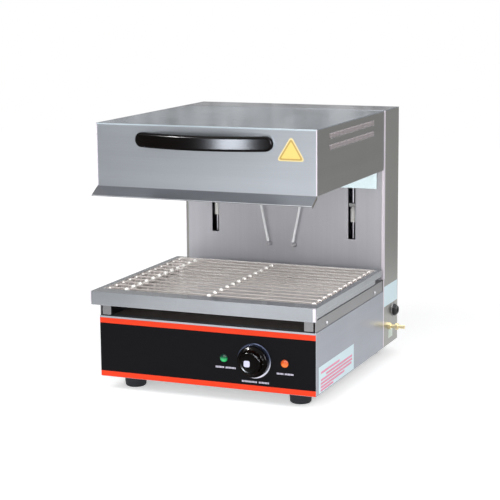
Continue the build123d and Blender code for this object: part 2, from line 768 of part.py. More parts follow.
# ---------------------------------------------------------------- tray and rack
def drip_tray():
    """Folded tray: a pan with a turned-down rim and a deep front."""
    depth = TRAY_BACK - TRAY_FRONT
    centre_y = (TRAY_BACK + TRAY_FRONT) / 2
    pan_depth = PAN_BACK - PAN_FRONT
    pan_y = (PAN_BACK + PAN_FRONT) / 2
    sheet = TRAY_SHEET
    rim = tray_block(2 * TRAY_HALF_WIDTH, depth, centre_y, 4, TRAY_TOP - TRAY_APRON, TRAY_TOP)
    rim -= tray_block(2 * (TRAY_HALF_WIDTH - sheet), depth - 2 * sheet, centre_y, 3,
                      TRAY_TOP - TRAY_APRON, TRAY_TOP - sheet)
    rim -= span(-260, 260, TRAY_FRONT + 6, TRAY_BACK + 5, 0, TRAY_TOP - TRAY_SKIRT)
    pan = tray_block(2 * PAN_HALF_WIDTH, pan_depth, pan_y, PAN_CORNER, PAN_UNDERSIDE, TRAY_TOP)
    hollow = tray_block(2 * (PAN_HALF_WIDTH - sheet), pan_depth - 2 * sheet, pan_y, PAN_CORNER - 1,
                        PAN_UNDERSIDE + sheet, TRAY_TOP + 5)
    return rim + pan - hollow


def tray_block(width, depth, centre_y, corner, z0, z1):
    """An upright block with rounded corners."""
    outline = Plane.XY.offset(z0) * Pos(0, centre_y) * RectangleRounded(width, depth, corner)
    return extrude(outline, z1 - z0)


def rack_rail_z():
    """Height of the two rails that the rack stands on."""
    return PAN_UNDERSIDE + TRAY_SHEET + 0.3 + RACK_BAR_RADIUS


def rack_wires():
    """Wires of the grid, their ends bent down into legs that end in the rails."""
    wire_z = RACK_TOP - RACK_WIRE_RADIUS
    leg_z = rack_rail_z() + RACK_BAR_RADIUS - RACK_SEAT
    pitch = (RACK_BACK - RACK_FRONT) / (RACK_WIRES - 1)
    wires = []
    for index in range(RACK_WIRES):
        y = RACK_FRONT + index * pitch
        points = [(-RACK_HALF_WIDTH, y, leg_z), (-RACK_HALF_WIDTH, y, wire_z),
                  (RACK_HALF_WIDTH, y, wire_z), (RACK_HALF_WIDTH, y, leg_z)]
        wires.append(wire(points, RACK_WIRE_RADIUS, RACK_BEND))
    return group(wires)


def rack_bars():
    """Three cross bars under the wires and two rails under the legs, each with seats for its welds."""
    bar_z = RACK_TOP - 2 * RACK_WIRE_RADIUS - RACK_BAR_RADIUS + RACK_SEAT
    bar_x = RACK_HALF_WIDTH - RACK_BEND - 1
    length = RACK_BACK - RACK_FRONT + 8
    places = [(x, bar_z) for x in (-bar_x, 0, bar_x)]
    places += [(x, rack_rail_z()) for x in (-RACK_HALF_WIDTH, RACK_HALF_WIDTH)]
    wires = rack_wires()
    return group([rod("Y", (x, RACK_FRONT - 4, z), length, RACK_BAR_RADIUS) - wires for x, z in places])


# ---------------------------------------------------------------- write every sub-part
def save_pair(name, right_piece):
    """Write a right-hand piece and its mirror image."""
    save(f"right_{name}", right_piece)
    save(f"left_{name}", mirror(right_piece, Plane.YZ))


def main():
    """Build and write every sub-part."""
    os.makedirs(OUT, exist_ok=True)
    save("base_floor", base_floor())
    save("rubber_feet", rubber_feet())
    save("foot_screws", foot_screws())
    save_pair("base_side", base_side())
    save_pair("tray_rail", rail())
    save("rail_screws", rail_screws())
    save("front_panel", front_panel())
    save("panel_film", panel_film())
    save("panel_stripes", panel_stripes())
    save("deck_plate", deck_plate())
    save("dial_bezel", dial_bezel())
    save("control_knob", control_knob())
    save("knob_pointer", knob_pointer())
    save("regulator_spindle", regulator_spindle())
    save("energy_regulator", energy_regulator())
    green_x, orange_x = lamp_places()
    save("green_lamp_lens", lamp_lens(green_x))
    save("orange_lamp_lens", lamp_lens(orange_x))
    save("lamp_bodies", lamp_bodies())
    save("terminal_block", terminal_block())
    save("column_front", column_front())
    save("column_left_side", mirror(column_side(), Plane.YZ))
    save("column_right_side", column_right_side())
    save("column_top", column_top())
    save("rear_cover", rear_cover())
    save("cover_screws", cover_screws())
    save_pair("guide_rod", guide_rod())
    save("rod_brackets", rod_brackets())
    save("strut_cylinders", strut_cylinders())
    save("column_lead_bushes", column_lead_bushes())
    save("cable_gland", cable_gland())
    save("bonding_stud", bonding_stud())
    save("bonding_nuts", bonding_nuts())
    save("hood_top", hood_top())
    save("hood_front", hood_front())
    save_pair("hood_side", hood_side())
    save("hood_rear", hood_rear())
    save("hood_apron", hood_apron())
    save("reflector", reflector())
    save("insulation", insulation())
    for name, centre_y in element_places().items():
        save(name, heating_element(centre_y))
    save("element_hangers", element_hangers())
    save("element_terminals", element_terminals())
    save("handle", handle())
    save("handle_screws", handle_screws())
    save_pair("hood_arm", hood_arm())
    save("carriage_bushes", carriage_bushes())
    save("crossbar", crossbar())
    save("strut_rods", strut_rods())
    save("supply_leads", supply_leads())
    save("hood_lead_bushes", hood_lead_bushes())
    save("drip_tray", drip_tray())
    save("rack_wires", rack_wires())
    save("rack_bars", rack_bars())


main()
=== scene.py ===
"""Cheese melter: finishes, labels, leads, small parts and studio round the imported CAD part.

Lengths are metres in the CAD's own frame: the origin is on the counter under the centre of the
front left foot, +X to the right, +Y to the back, +Z up. Sizes of the machine are written in
millimetres about the middle of its footprint, as in the CAD source, and moved by MIDDLE.
"""

from __future__ import annotations

import logging
import math
from dataclasses import dataclass, field
from enum import Enum

import bmesh
import bpy
from mathutils import Matrix, Vector

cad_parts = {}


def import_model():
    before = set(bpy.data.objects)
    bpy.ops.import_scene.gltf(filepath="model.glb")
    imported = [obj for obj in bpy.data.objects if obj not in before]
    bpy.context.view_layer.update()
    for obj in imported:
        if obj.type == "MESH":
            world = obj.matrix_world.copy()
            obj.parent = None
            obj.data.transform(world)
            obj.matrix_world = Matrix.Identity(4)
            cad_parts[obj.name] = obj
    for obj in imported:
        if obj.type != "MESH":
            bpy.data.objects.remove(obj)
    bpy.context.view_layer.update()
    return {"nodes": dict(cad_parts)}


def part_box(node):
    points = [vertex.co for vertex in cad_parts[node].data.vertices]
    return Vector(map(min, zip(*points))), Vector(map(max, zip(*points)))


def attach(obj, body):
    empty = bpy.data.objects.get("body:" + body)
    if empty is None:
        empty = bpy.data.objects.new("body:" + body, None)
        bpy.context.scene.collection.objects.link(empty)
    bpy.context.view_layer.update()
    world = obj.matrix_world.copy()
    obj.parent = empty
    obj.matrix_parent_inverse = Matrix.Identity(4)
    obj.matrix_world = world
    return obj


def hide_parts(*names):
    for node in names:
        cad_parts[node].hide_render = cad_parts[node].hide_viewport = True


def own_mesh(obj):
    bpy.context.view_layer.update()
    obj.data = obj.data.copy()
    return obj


LOG = logging.getLogger("cheese_melter")
MM = 0.001
MIDDLE = Vector((0.175, 0.205, 0.0))
IMAGE_SIDE = 500
SMOOTH_ANGLE = math.radians(38)
CORNERS = {"affect": "VERTICES", "segments": 5, "profile": 0.5, "material": -1}
FORWARD = Matrix.Rotation(math.pi / 2, 4, "X")
OUTWARD = Matrix.Rotation(math.pi / 2, 4, "Y")
SMEAR_SCALE = 9.0
RELIEF_DEPTH = 0.0004
WHITE = (1.0, 1.0, 1.0, 1.0)
LAMP_TARGET = MIDDLE + Vector((0.0, 0.0, 0.3))

Pair = tuple[float, float]
Triple = tuple[float, float, float]
Limits = tuple[float, float, float, float]
Socket = bpy.types.NodeSocket
Node = bpy.types.Node
Outputs = bpy.types.NodeOutputs
Piece = bpy.types.Object
Mesh = bmesh.types.BMesh
Vert = bmesh.types.BMVert


def at(x: float, y: float, z: float) -> Vector:
    """Turn millimetres about the footprint's middle into a point of the row frame.

    Args:
        x: Millimetres to the right of the middle.
        y: Millimetres behind the middle.
        z: Millimetres above the counter.

    Returns:
        The point in metres.
    """
    return MIDDLE + Vector((x, y, z)) * MM


def tone(red: float, green: float, blue: float) -> tuple[float, float, float, float]:
    """Turn a colour in display steps of 0 to 255 into the linear values of a shader.

    Args:
        red: Red step.
        green: Green step.
        blue: Blue step.

    Returns:
        Linear red, green, blue and an alpha of 1.
    """
    linear = []
    # the display's own curve
    for step in (red, green, blue):
        share = step / 255
        linear.append(share / 12.92 if share <= 0.04045 else ((share + 0.055) / 1.055) ** 2.4)
    return (linear[0], linear[1], linear[2], 1.0)


# ---------------------------------------------------------------- shader nodes
class NodeBench:
    """Adds nodes to one tree, fills their sockets and links them."""

    def __init__(self, tree: bpy.types.NodeTree) -> None:
        """Work on one tree."""
        self.tree = tree

    def add(self, kind: str, sockets: dict | None = None, **settings: object) -> Node:
        """Add one node.

        Args:
            kind: The node's type name.
            sockets: Input name or number to a value, or to a socket that is linked to it.
            settings: Properties of the node itself.

        Returns:
            The new node.
        """
        node = self.tree.nodes.new(kind)
        for name, value in settings.items():
            setattr(node, name, value)
        self.fill(node, sockets or {})
        return node

    def fill(self, node: Node, sockets: dict) -> None:
        """Give inputs of a node their values and links.

        Args:
            node: The node.
            sockets: Input name or number to a value, or to a socket that is linked to it.
        """
        for key, value in sockets.items():
            if isinstance(value, Socket):
                self.tree.links.new(value, node.inputs[key])
            else:
                node.inputs[key].default_value = value

    def calc(self, how: str, first: object, second: object = 0.0, clamp: bool = False) -> Socket:
        """Add a Math node and give its result.

        Args:
            how: The Math node's operation.
            first: Value or socket.
            second: Value or socket.
            clamp: Whether the result is kept from 0 to 1.

        Returns:
            The result's socket.
        """
        node = self.add("ShaderNodeMath", {0: first, 1: second}, operation=how, use_clamp=clamp)
        return node.outputs[0]

    def vector(
        self, how: str, first: Socket, second: object = (0, 0, 0), out: str = "Vector",
    ) -> Socket:
        """Add a Vector Math node and give its result.

        Args:
            how: The node's operation.
            first: A vector's socket.
            second: Vector or socket.
            out: Which result is wanted, Vector or Value.

        Returns:
            The result's socket.
        """
        return self.add("ShaderNodeVectorMath", {0: first, 1: second}, operation=how).outputs[out]

    def noise(self, place: Socket, scale: object, detail: float, roughness: float = 0.5) -> Socket:
        """Add a noise texture.

        Args:
            place: Where on the surface.
            scale: Value or socket.
            detail: How many finer layers it has.
            roughness: How strong the finer layers are.

        Returns:
            A value from 0 to 1.
        """
        sockets = {"Vector": place, "Scale": scale, "Detail": detail, "Roughness": roughness}
        return self.add("ShaderNodeTexNoise", sockets).outputs[0]

    def swing(self, value: Socket, middle: float, contrast: Socket) -> Socket:
        """Turn a value that swings about a middle into a factor that swings about 1.

        Args:
            value: The value.
            middle: Its middle.
            contrast: How much of the swing is kept.

        Returns:
            The factor.
        """
        kept = self.calc("MULTIPLY", self.calc("SUBTRACT", value, middle), contrast)
        return self.calc("ADD", kept, 1.0)

    def ramp(
        self, value: Socket, low: object, high: object, start: float = 0.0, end: float = 1.0,
    ) -> Socket:
        """Map a value smoothly from one range to another.

        Args:
            value: The socket that is mapped.
            low: Input that gives start.
            high: Input that gives end.
            start: Result at low.
            end: Result at high.

        Returns:
            The mapped socket.
        """
        sockets = {"Value": value, "From Min": low, "From Max": high}
        sockets |= {"To Min": start, "To Max": end}
        node = self.add("ShaderNodeMapRange", sockets, interpolation_type="SMOOTHSTEP")
        return node.outputs["Result"]

    def blend(self, share: object, first: object, second: object, how: str = "MIX") -> Socket:
        """Mix two colours.

        Args:
            share: Value or socket, 0 for the first colour.
            first: Colour or socket.
            second: Colour or socket.
            how: Blend type.

        Returns:
            The mixed colour's socket.
        """
        sockets = {0: share, 6: first, 7: second}
        return self.add("ShaderNodeMix", sockets, data_type="RGBA", blend_type=how).outputs[2]

    def grey(self, value: Socket) -> Socket:
        """Turn one value into a grey colour."""
        return self.add("ShaderNodeCombineColor", {0: value, 1: value, 2: value}).outputs[0]

    def spot(self) -> Socket:
        """Give the spot on the piece, in the row frame."""
        return self.add("ShaderNodeTexCoord").outputs["Object"]

    def axes(self, vector: Socket) -> Outputs:
        """Split a vector into X, Y and Z."""
        return self.add("ShaderNodeSeparateXYZ", {0: vector}).outputs


class Effect(Enum):
    """Surface effects that several finishes share: a group's name, its inputs and its outputs."""

    GRAIN = (
        "brushed_grain",
        {"Stretch": "Vector", "Contrast": "Float"},
        {"Height": "Float", "Shade": "Float"},
    )
    MOTTLE = ("slow_mottle", {"Scale": "Float", "Contrast": "Float"}, {"Shade": "Float"})
    EDGE = (
        "softened_edge",
        {"Radius": "Float", "Strength": "Float"},
        {"Normal": "Vector", "Mask": "Float"},
    )
    PORES = (
        "fine_pores",
        {"Scale": "Float", "Contrast": "Float"},
        {"Height": "Float", "Shade": "Float"},
    )
    SMEARS = ("wiped_smears", {"Scale": "Float", "Amount": "Float"}, {"Extra": "Float"})
    FADE = ("upright_fade", {"Low": "Float", "High": "Float"}, {"Mask": "Float"})
    WITHIN = ("inside_of_box", {"Middle": "Vector", "Half": "Vector"}, {"Mask": "Float"})


@dataclass
class EffectShop:
    """Builds each shared node group once and places it in materials.

    The methods that are named after an effect take the group's bench and the sockets of its
    inputs, and give the sockets of its outputs.
    """

    built: dict[Effect, bpy.types.NodeTree] = field(default_factory=dict)

    def place(self, bench: NodeBench, effect: Effect, sockets: dict) -> Outputs:
        """Place one effect in a material.

        Args:
            bench: The material's bench.
            effect: Which effect.
            sockets: Values of the group's inputs.

        Returns:
            The group node's outputs.
        """
        if effect not in self.built:
            self.built[effect] = self.build(effect)
        return bench.add("ShaderNodeGroup", sockets, node_tree=self.built[effect]).outputs

    def build(self, effect: Effect) -> bpy.types.NodeTree:
        """Build the group of one effect.

        Args:
            effect: Which effect.

        Returns:
            The group.
        """
        name, inputs, outputs = effect.value
        tree = bpy.data.node_groups.new(name, "ShaderNodeTree")
        for way, sockets in (("INPUT", inputs), ("OUTPUT", outputs)):
            for socket, kind in sockets.items():
                tree.interface.new_socket(socket, in_out=way, socket_type=f"NodeSocket{kind}")
        bench = NodeBench(tree)
        given = bench.add("NodeGroupInput").outputs
        bench.add("NodeGroupOutput", getattr(self, effect.name.lower())(bench, given))
        return tree

    @staticmethod
    def grain(bench: NodeBench, given: Outputs) -> dict[str, Socket]:
        """Long fine brush lines and slower bands along them.

        Args:
            bench: The group's bench.
            given: Stretch of the lines and their Contrast.

        Returns:
            Height, from 0 to 1, and Shade, a factor near 1.
        """
        stretch = {"Vector": bench.spot(), "Scale": given["Stretch"]}
        fine = bench.add("ShaderNodeMapping", stretch).outputs[0]
        lines = bench.noise(fine, 1.0, 3.0, 0.65)
        bands = bench.noise(bench.vector("MULTIPLY", fine, (0.12, 0.12, 0.12)), 1.0, 1.0)
        both = bench.calc("ADD", lines, bands)
        return {"Height": lines, "Shade": bench.swing(both, 1.0, given["Contrast"])}

    @staticmethod
    def mottle(bench: NodeBench, given: Outputs) -> dict[str, Socket]:
        """Slow cloudy change of shade over a surface.

        Args:
            bench: The group's bench.
            given: Scale of the clouds and their Contrast.

        Returns:
            Shade, a factor near 1.
        """
        clouds = bench.noise(bench.spot(), given["Scale"], 3.0)
        return {"Shade": bench.swing(clouds, 0.5, given["Contrast"])}

    @staticmethod
    def edge(bench: NodeBench, given: Outputs) -> dict[str, Socket]:
        """Small radius on every sharp edge, and a mask of where it is.

        Args:
            bench: The group's bench.
            given: Radius, and Strength of the mask.

        Returns:
            Normal, and Mask from 0 to 1.
        """
        soft = bench.add("ShaderNodeBevel", {"Radius": given["Radius"]}, samples=6).outputs[0]
        sharp = bench.add("ShaderNodeNewGeometry").outputs["Normal"]
        turned = bench.calc("SUBTRACT", 1.0, bench.vector("DOT_PRODUCT", soft, sharp, "Value"))
        mask = bench.calc("MULTIPLY", turned, given["Strength"], clamp=True)
        return {"Normal": soft, "Mask": mask}

    @staticmethod
    def pores(bench: NodeBench, given: Outputs) -> dict[str, Socket]:
        """Fine even texture of moulded plastic, rubber, cloth or cast paint.

        Args:
            bench: The group's bench.
            given: Scale of the pores and their Contrast.

        Returns:
            Height, and Shade, a factor near 1.
        """
        spot = bench.spot()
        cells = bench.add("ShaderNodeTexVoronoi", {"Vector": spot, "Scale": given["Scale"]})
        fine = bench.noise(spot, given["Scale"], 2.0)
        height = bench.calc("MULTIPLY", bench.calc("ADD", cells.outputs["Distance"], fine), 0.5)
        return {"Height": height, "Shade": bench.swing(fine, 0.5, given["Contrast"])}

    @staticmethod
    def smears(bench: NodeBench, given: Outputs) -> dict[str, Socket]:
        """Patches that a wiping cloth and fingers leave, as extra roughness.

        Args:
            bench: The group's bench.
            given: Scale of the patches, and Amount, the most that they add.

        Returns:
            Extra, from 0 up to Amount.
        """
        patches = bench.ramp(bench.noise(bench.spot(), given["Scale"], 2.0), 0.3, 0.75)
        return {"Extra": bench.calc("MULTIPLY", patches, given["Amount"])}

    @staticmethod
    def fade(bench: NodeBench, given: Outputs) -> dict[str, Socket]:
        """Change from a piece's lower part to its upper part.

        Args:
            bench: The group's bench.
            given: Low and High, the heights where it starts and ends, in metres.

        Returns:
            Mask, 0 at Low and 1 at High.
        """
        return {"Mask": bench.ramp(bench.axes(bench.spot())["Z"], given["Low"], given["High"])}

    @staticmethod
    def within(bench: NodeBench, given: Outputs) -> dict[str, Socket]:
        """Mark what lies inside an upright box.

        Args:
            bench: The group's bench.
            given: Middle of the box and Half its size, in metres.

        Returns:
            Mask, 1 inside.
        """
        offset = bench.vector("SUBTRACT", bench.spot(), given["Middle"])
        share = bench.vector("ABSOLUTE", bench.vector("DIVIDE", offset, given["Half"]))
        sides = bench.axes(share)
        widest = bench.calc("MAXIMUM", bench.calc("MAXIMUM", sides["X"], sides["Y"]), sides["Z"])
        return {"Mask": bench.ramp(widest, 0.999, 1.0015, 1.0, 0.0)}


class Brush(Enum):
    """Direction of a brushed sheet's lines, as the scale of its noise on each axis."""

    NONE = (0.0, 0.0, 0.0)
    ALONG_X = (5.0, 420.0, 420.0)
    ALONG_Y = (420.0, 5.0, 420.0)
    ALONG_Z = (420.0, 420.0, 5.0)


@dataclass(frozen=True)
class LightShadeTone:
    """A second colour of a finish that paints light or shade on part of it, and the effect and its
    limits that say where it shows.
    """

    effect: Effect
    colour: Triple
    limits: dict[str, object]


@dataclass(frozen=True)
class Finish:
    """One finish of the machine, the CAD nodes that wear it and all that its material needs."""

    name: str
    colour: Triple
    wearers: tuple[str, ...] = ()
    metallic: float = 0.0
    roughness: float = 0.4
    specular: float = 0.5
    brush: Brush = Brush.NONE
    brush_contrast: float = 0.1
    mottle: float = 0.06
    mottle_scale: float = 7.0
    edge_radius: float = 0.0006
    # painted highlight: how strongly, and in what colour, the base turns pale along sharp edges
    edge_highlight: float = 0.0
    edge_highlight_colour: Triple = (228, 230, 236)
    pores: float = 0.0
    pores_scale: float = 900.0
    relief: float = 0.08
    smears: float = 0.05
    transmission: float = 0.0
    glow: float = 0.0
    second: LightShadeTone | None = None

    def textures(self) -> dict[Effect, dict[str, object]]:
        """List the fine textures that the finish has.

        Returns:
            Effect to the values of its inputs.
        """
        found: dict[Effect, dict[str, object]] = {}
        if self.brush is not Brush.NONE:
            found[Effect.GRAIN] = {"Stretch": self.brush.value, "Contrast": self.brush_contrast}
        if self.pores:
            found[Effect.PORES] = {"Scale": self.pores_scale, "Contrast": self.pores}
        return found

    def material(self, shop: EffectShop) -> bpy.types.Material:
        """Build the finish's material from the shared effects.

        Args:
            shop: Where the shared node groups come from.

        Returns:
            The material.
        """
        made = bpy.data.materials.new(self.name)
        made.use_nodes = True
        bench = NodeBench(made.node_tree)
        clouds = {"Scale": self.mottle_scale, "Contrast": self.mottle}
        shade = shop.place(bench, Effect.MOTTLE, clouds)["Shade"]
        height = None
        for effect, sockets in self.textures().items():
            texture = shop.place(bench, effect, sockets)
            shade = bench.calc("MULTIPLY", shade, texture["Shade"])
            height = texture["Height"]
        corner = {"Radius": self.edge_radius, "Strength": self.edge_highlight}
        edge = shop.place(bench, Effect.EDGE, corner)
        paint = tone(*self.colour)
        # painted light or painted shade: a second colour over part of the piece
        if self.second is not None:
            mask = shop.place(bench, self.second.effect, self.second.limits)["Mask"]
            paint = bench.blend(mask, paint, tone(*self.second.colour))
        base = bench.blend(1.0, paint, bench.grey(shade), "MULTIPLY")
        # painted highlight: the base turns pale along sharp edges
        if self.edge_highlight:
            base = bench.blend(edge["Mask"], base, tone(*self.edge_highlight_colour))
        smears = shop.place(bench, Effect.SMEARS, {"Scale": SMEAR_SCALE, "Amount": self.smears})
        normal = edge["Normal"]
        if height is not None:
            relief = {"Strength": self.relief, "Distance": RELIEF_DEPTH, "Height": height}
            normal = bench.add("ShaderNodeBump", relief | {"Normal": normal}).outputs[0]
        shader = {
            "Base Color": base,
            "Roughness": bench.calc("ADD", smears["Extra"], self.roughness, clamp=True),
            "Normal": normal,
            "Metallic": self.metallic,
            "Specular IOR Level": self.specular,
            "Transmission Weight": self.transmission,
        }
        if self.glow:
            shader |= {"Emission Color": base, "Emission Strength": self.glow}
        bench.fill(made.node_tree.nodes["Principled BSDF"], shader)
        return made


STEEL = (176, 181, 188)
# the sheets carry a painted highlight along their sharp edges
SHEET = {"metallic": 0.86, "roughness": 0.285, "edge_highlight": 1.4, "edge_radius": 0.0011}
ACROSS = SHEET | {"brush": Brush.ALONG_X}
DEEP = SHEET | {"brush": Brush.ALONG_Y}
UPRIGHT = SHEET | {"brush": Brush.ALONG_Z}
# the strong mottle of the polished tops is painted reflection, patches of a room in the steel
MIRROR = ACROSS | {"roughness": 0.07, "mottle": 0.5, "relief": 0.01, "smears": 0.02}
SMALL = {"metallic": 1.0, "edge_radius": 0.0004}
MOULDING = {
    "specular": 0.03, "pores": 0.04, "pores_scale": 300.0, "relief": 0.005, "smears": 0.03,
    "edge_radius": 0.0014,
}
FILM = {"pores_scale": 1500.0, "relief": 0.03}
LENS = {
    "roughness": 0.1, "transmission": 0.2, "glow": 0.3, "pores": 0.12, "pores_scale": 420.0,
    "relief": 0.1,
}
# painted shade: each lens's upper part is a darker colour
LENS_SHADE_FADE = {"Low": 0.0805, "High": 0.0905}
# painted shade: the bezel's upper part is a dark blue-grey
BEZEL_SHADE_FADE = {"Low": 0.072, "High": 0.094}
# painted light: inside this box the tray's pan is near white
PAN_LIGHT_BOX = {"Middle": (0.175, 0.138, 0.18), "Half": (0.2214, 0.1785, 1.0)}
# painted shade: inside this box the hood front's lip is a darker grey
LIP_SHADE_BOX = {"Middle": (0.175, -0.06, 0.3917), "Half": (0.24, 0.02, 0.0119)}
FINISHES = (
    Finish("sheet_brushed_across", STEEL, ("hood_rear", "front_panel", "rear_cover"), **ACROSS),
    # the hood front's lip is painted a darker grey as shade
    Finish(
        "sheet_hood_front", STEEL, ("hood_front",), **ACROSS,
        second=LightShadeTone(Effect.WITHIN, (124, 126, 130), LIP_SHADE_BOX),
    ),
    # painted light: the rear apron is a paler, bluer steel than the other sheets, so it reads
    # bright under the hood
    Finish(
        "apron_pale", (206, 222, 226), ("hood_apron",), metallic=0.85, roughness=0.2,
        brush=Brush.ALONG_X, brush_contrast=0.03, edge_radius=0.0008,
    ),
    # painted light and shade: these sheets are one steel given a colour per face, the tops darker
    # and bluer, the sides and rails darker, the column front lighter
    Finish("sheet_top", (150, 166, 182), ("hood_top",), **MIRROR),
    Finish("sheet_column_top", (130, 140, 152), ("column_top",), **MIRROR),
    Finish("sheet_hood_side", (142, 142, 140), ("left_hood_side", "right_hood_side"), **DEEP),
    Finish("sheet_base_side", (154, 158, 168), ("left_base_side", "right_base_side"), **DEEP),
    Finish("sheet_rail", (138, 138, 140), ("left_tray_rail", "right_tray_rail"), **DEEP),
    Finish(
        "sheet_column", (191, 191, 197), ("column_front",),
        **(UPRIGHT | {"metallic": 0.5, "roughness": 0.42}),
    ),
    Finish(
        "sheet_column_side", (156, 156, 152), ("column_left_side", "column_right_side"), **UPRIGHT,
    ),
    # painted light: the tray's pan is near white inside, the rest of the tray a steel grey
    Finish(
        "tray_sheet", (156, 160, 165), ("drip_tray",),
        second=LightShadeTone(Effect.WITHIN, (252, 249, 247), PAN_LIGHT_BOX),
        **(ACROSS | {"metallic": 0.7, "roughness": 0.15, "mottle": 0.3}),
    ),
    Finish(
        "zinc_sheet", (156, 157, 158),
        (
            "base_floor", "rod_brackets", "left_hood_arm", "right_hood_arm", "crossbar",
            "element_hangers",
        ),
        **(UPRIGHT | {"metallic": 0.8, "roughness": 0.42, "mottle": 0.25, "mottle_scale": 60.0}),
    ),
    # painted light: the deck plate is a lighter, warmer grey and less metallic than the zinc
    # sheets, so the shaded gap under the tray reads grey
    Finish(
        "deck_sheet", (176, 168, 164), ("deck_plate",),
        **(ACROSS | {"metallic": 0.5, "roughness": 0.36, "mottle": 0.4, "mottle_scale": 24.0}),
    ),
    Finish(
        "dark_sheet", (62, 60, 60), ("strut_cylinders",), metallic=0.6, roughness=0.5, pores=0.3,
        pores_scale=500.0,
    ),
    Finish(
        "chromed_wire", (208, 201, 198), ("rack_wires", "rack_bars"), metallic=0.75, roughness=0.3,
        mottle=0.3, mottle_scale=30.0, smears=0.08, edge_radius=0.0004,
    ),
    Finish(
        "polished_rod", (176, 175, 182),
        ("left_guide_rod", "right_guide_rod", "strut_rods", "regulator_spindle"),
        roughness=0.2, mottle=0.08, **SMALL,
    ),
    Finish(
        "screw_steel", (206, 207, 210),
        ("foot_screws", "rail_screws", "cover_screws", "handle_screws"),
        roughness=0.28, mottle=0.15, mottle_scale=90.0, **SMALL,
    ),
    Finish(
        "reflector_sheet", (212, 212, 210), ("reflector",),
        **(ACROSS | {"roughness": 0.12, "mottle": 0.2}),
    ),
    Finish(
        "element_sheath", (74, 70, 68), ("front_element", "middle_element", "rear_element"),
        metallic=0.7, roughness=0.55, mottle=0.5, mottle_scale=25.0, pores=0.3,
    ),
    Finish(
        "mineral_wool", (196, 186, 160), ("insulation",), roughness=0.95, specular=0.1, pores=0.5,
        pores_scale=260.0, relief=0.9, smears=0.0,
    ),
    Finish("glazed_ceramic", (226, 221, 210), ("element_terminals",), roughness=0.35, pores=0.08),
    Finish("gloss_moulding", (7, 5, 4), ("control_knob",), roughness=0.17, **MOULDING),
    Finish("handle_moulding", (9, 6, 5), ("handle",), roughness=0.23, **MOULDING),
    Finish(
        "matt_moulding", (27, 27, 29), ("energy_regulator", "cable_gland"), roughness=0.5,
        pores=0.2,
    ),
    Finish(
        "foot_rubber", (44, 46, 50), ("rubber_feet",), roughness=0.62, specular=0.3, pores=0.35,
        pores_scale=700.0, relief=0.25, edge_radius=0.0012,
    ),
    Finish(
        "panel_film", (13, 13, 16), ("panel_film",), roughness=0.34, specular=0.08, pores=0.12,
        **FILM,
    ),
    Finish(
        "stripe_print", (232, 62, 30), ("panel_stripes",), roughness=0.4, specular=0.2, pores=0.06,
        **FILM,
    ),
    # painted shade: the bezel's upper part is a dark blue-grey
    Finish(
        "bezel_bright", (206, 208, 222), ("dial_bezel",), brush=Brush.ALONG_X, brush_contrast=0.2,
        metallic=0.8, roughness=0.2, edge_radius=0.0004,
        second=LightShadeTone(Effect.FADE, (74, 82, 104), BEZEL_SHADE_FADE),
    ),
    Finish(
        "pointer_print", (206, 206, 232), ("knob_pointer",), roughness=0.35, specular=0.3,
        pores=0.05,
    ),
    Finish(
        "nylon", (232, 232, 230),
        ("carriage_bushes", "hood_lead_bushes", "lamp_bodies", "terminal_block"), pores=0.06,
    ),
    Finish(
        "ferrule_pale", (178, 176, 180), ("column_lead_bushes",), roughness=0.35, specular=0.4,
        pores=0.06,
    ),
    # painted shade: the upper part of the green lens is darker
    Finish(
        "green_lens", (44, 200, 116), ("green_lamp_lens",),
        second=LightShadeTone(Effect.FADE, (8, 58, 44), LENS_SHADE_FADE), **LENS,
    ),
    # painted shade: the upper part of the orange lens is darker
    Finish(
        "orange_lens", (250, 124, 42), ("orange_lamp_lens",),
        second=LightShadeTone(Effect.FADE, (200, 84, 34), LENS_SHADE_FADE), **LENS,
    ),
    Finish("lamp_ring", (16, 17, 20), specular=0.3, pores=0.1),
    Finish(
        "brass", (236, 220, 176), ("bonding_stud", "bonding_nuts"), roughness=0.29, mottle=0.25,
        mottle_scale=120.0, **SMALL,
    ),
    Finish(
        "glass_sleeve", (250, 252, 255), ("supply_leads",), roughness=0.7, specular=0.3, pores=0.2,
        pores_scale=1300.0, relief=0.5,
    ),
    # painted highlight: the weld beads and the stay are near white
    Finish(
        "weld_bright", (248, 246, 243), metallic=0.3, roughness=0.3, mottle=0.08,
        mottle_scale=200.0,
    ),
    Finish("label_face", (216, 238, 245), roughness=0.35, mottle=0.04, pores=0.03),
    Finish("label_rule", (232, 140, 172), pores=0.2, pores_scale=1200.0),
    Finish("tag_face", (224, 238, 226), mottle=0.1, pores=0.03),
    Finish("triangle_rim", (226, 210, 156), roughness=0.35, pores=0.04),
    Finish("triangle_band", (186, 156, 84), roughness=0.35, pores=0.04),
    Finish(
        "triangle_face", (228, 200, 116), roughness=0.35, mottle=0.1, mottle_scale=30.0,
        pores=0.04,
    ),
    Finish("legend_print", (202, 198, 216), roughness=0.45, pores=0.1),
    # painted highlight: pale strips laid along the sheets' folds
    Finish("fold_bright", (232, 224, 234), metallic=0.2, roughness=0.3, mottle=0.08),
    # painted highlight along the hood's top front fold
    Finish(
        "crown_bright", (196, 208, 216), metallic=0.4, roughness=0.3, mottle=0.3,
        mottle_scale=14.0,
    ),
    # painted shade: a dark strip along each end of the hood's lip
    Finish("lip_end_dark", (112, 108, 104), metallic=0.5, mottle=0.1),
    # painted highlight along the lip's lower hem
    Finish("hem_bright", (186, 188, 192), metallic=0.5, roughness=0.3, mottle=0.1),
    # painted light: the vent lips are a lighter, pinker grey than the hood sides
    Finish(
        "vent_lip", (160, 150, 152), metallic=0.8, roughness=0.32, mottle=0.12, mottle_scale=60.0,
    ),
    Finish(
        "washer_steel", (150, 150, 152), mottle=0.3, mottle_scale=120.0, roughness=0.3, **SMALL,
    ),
)


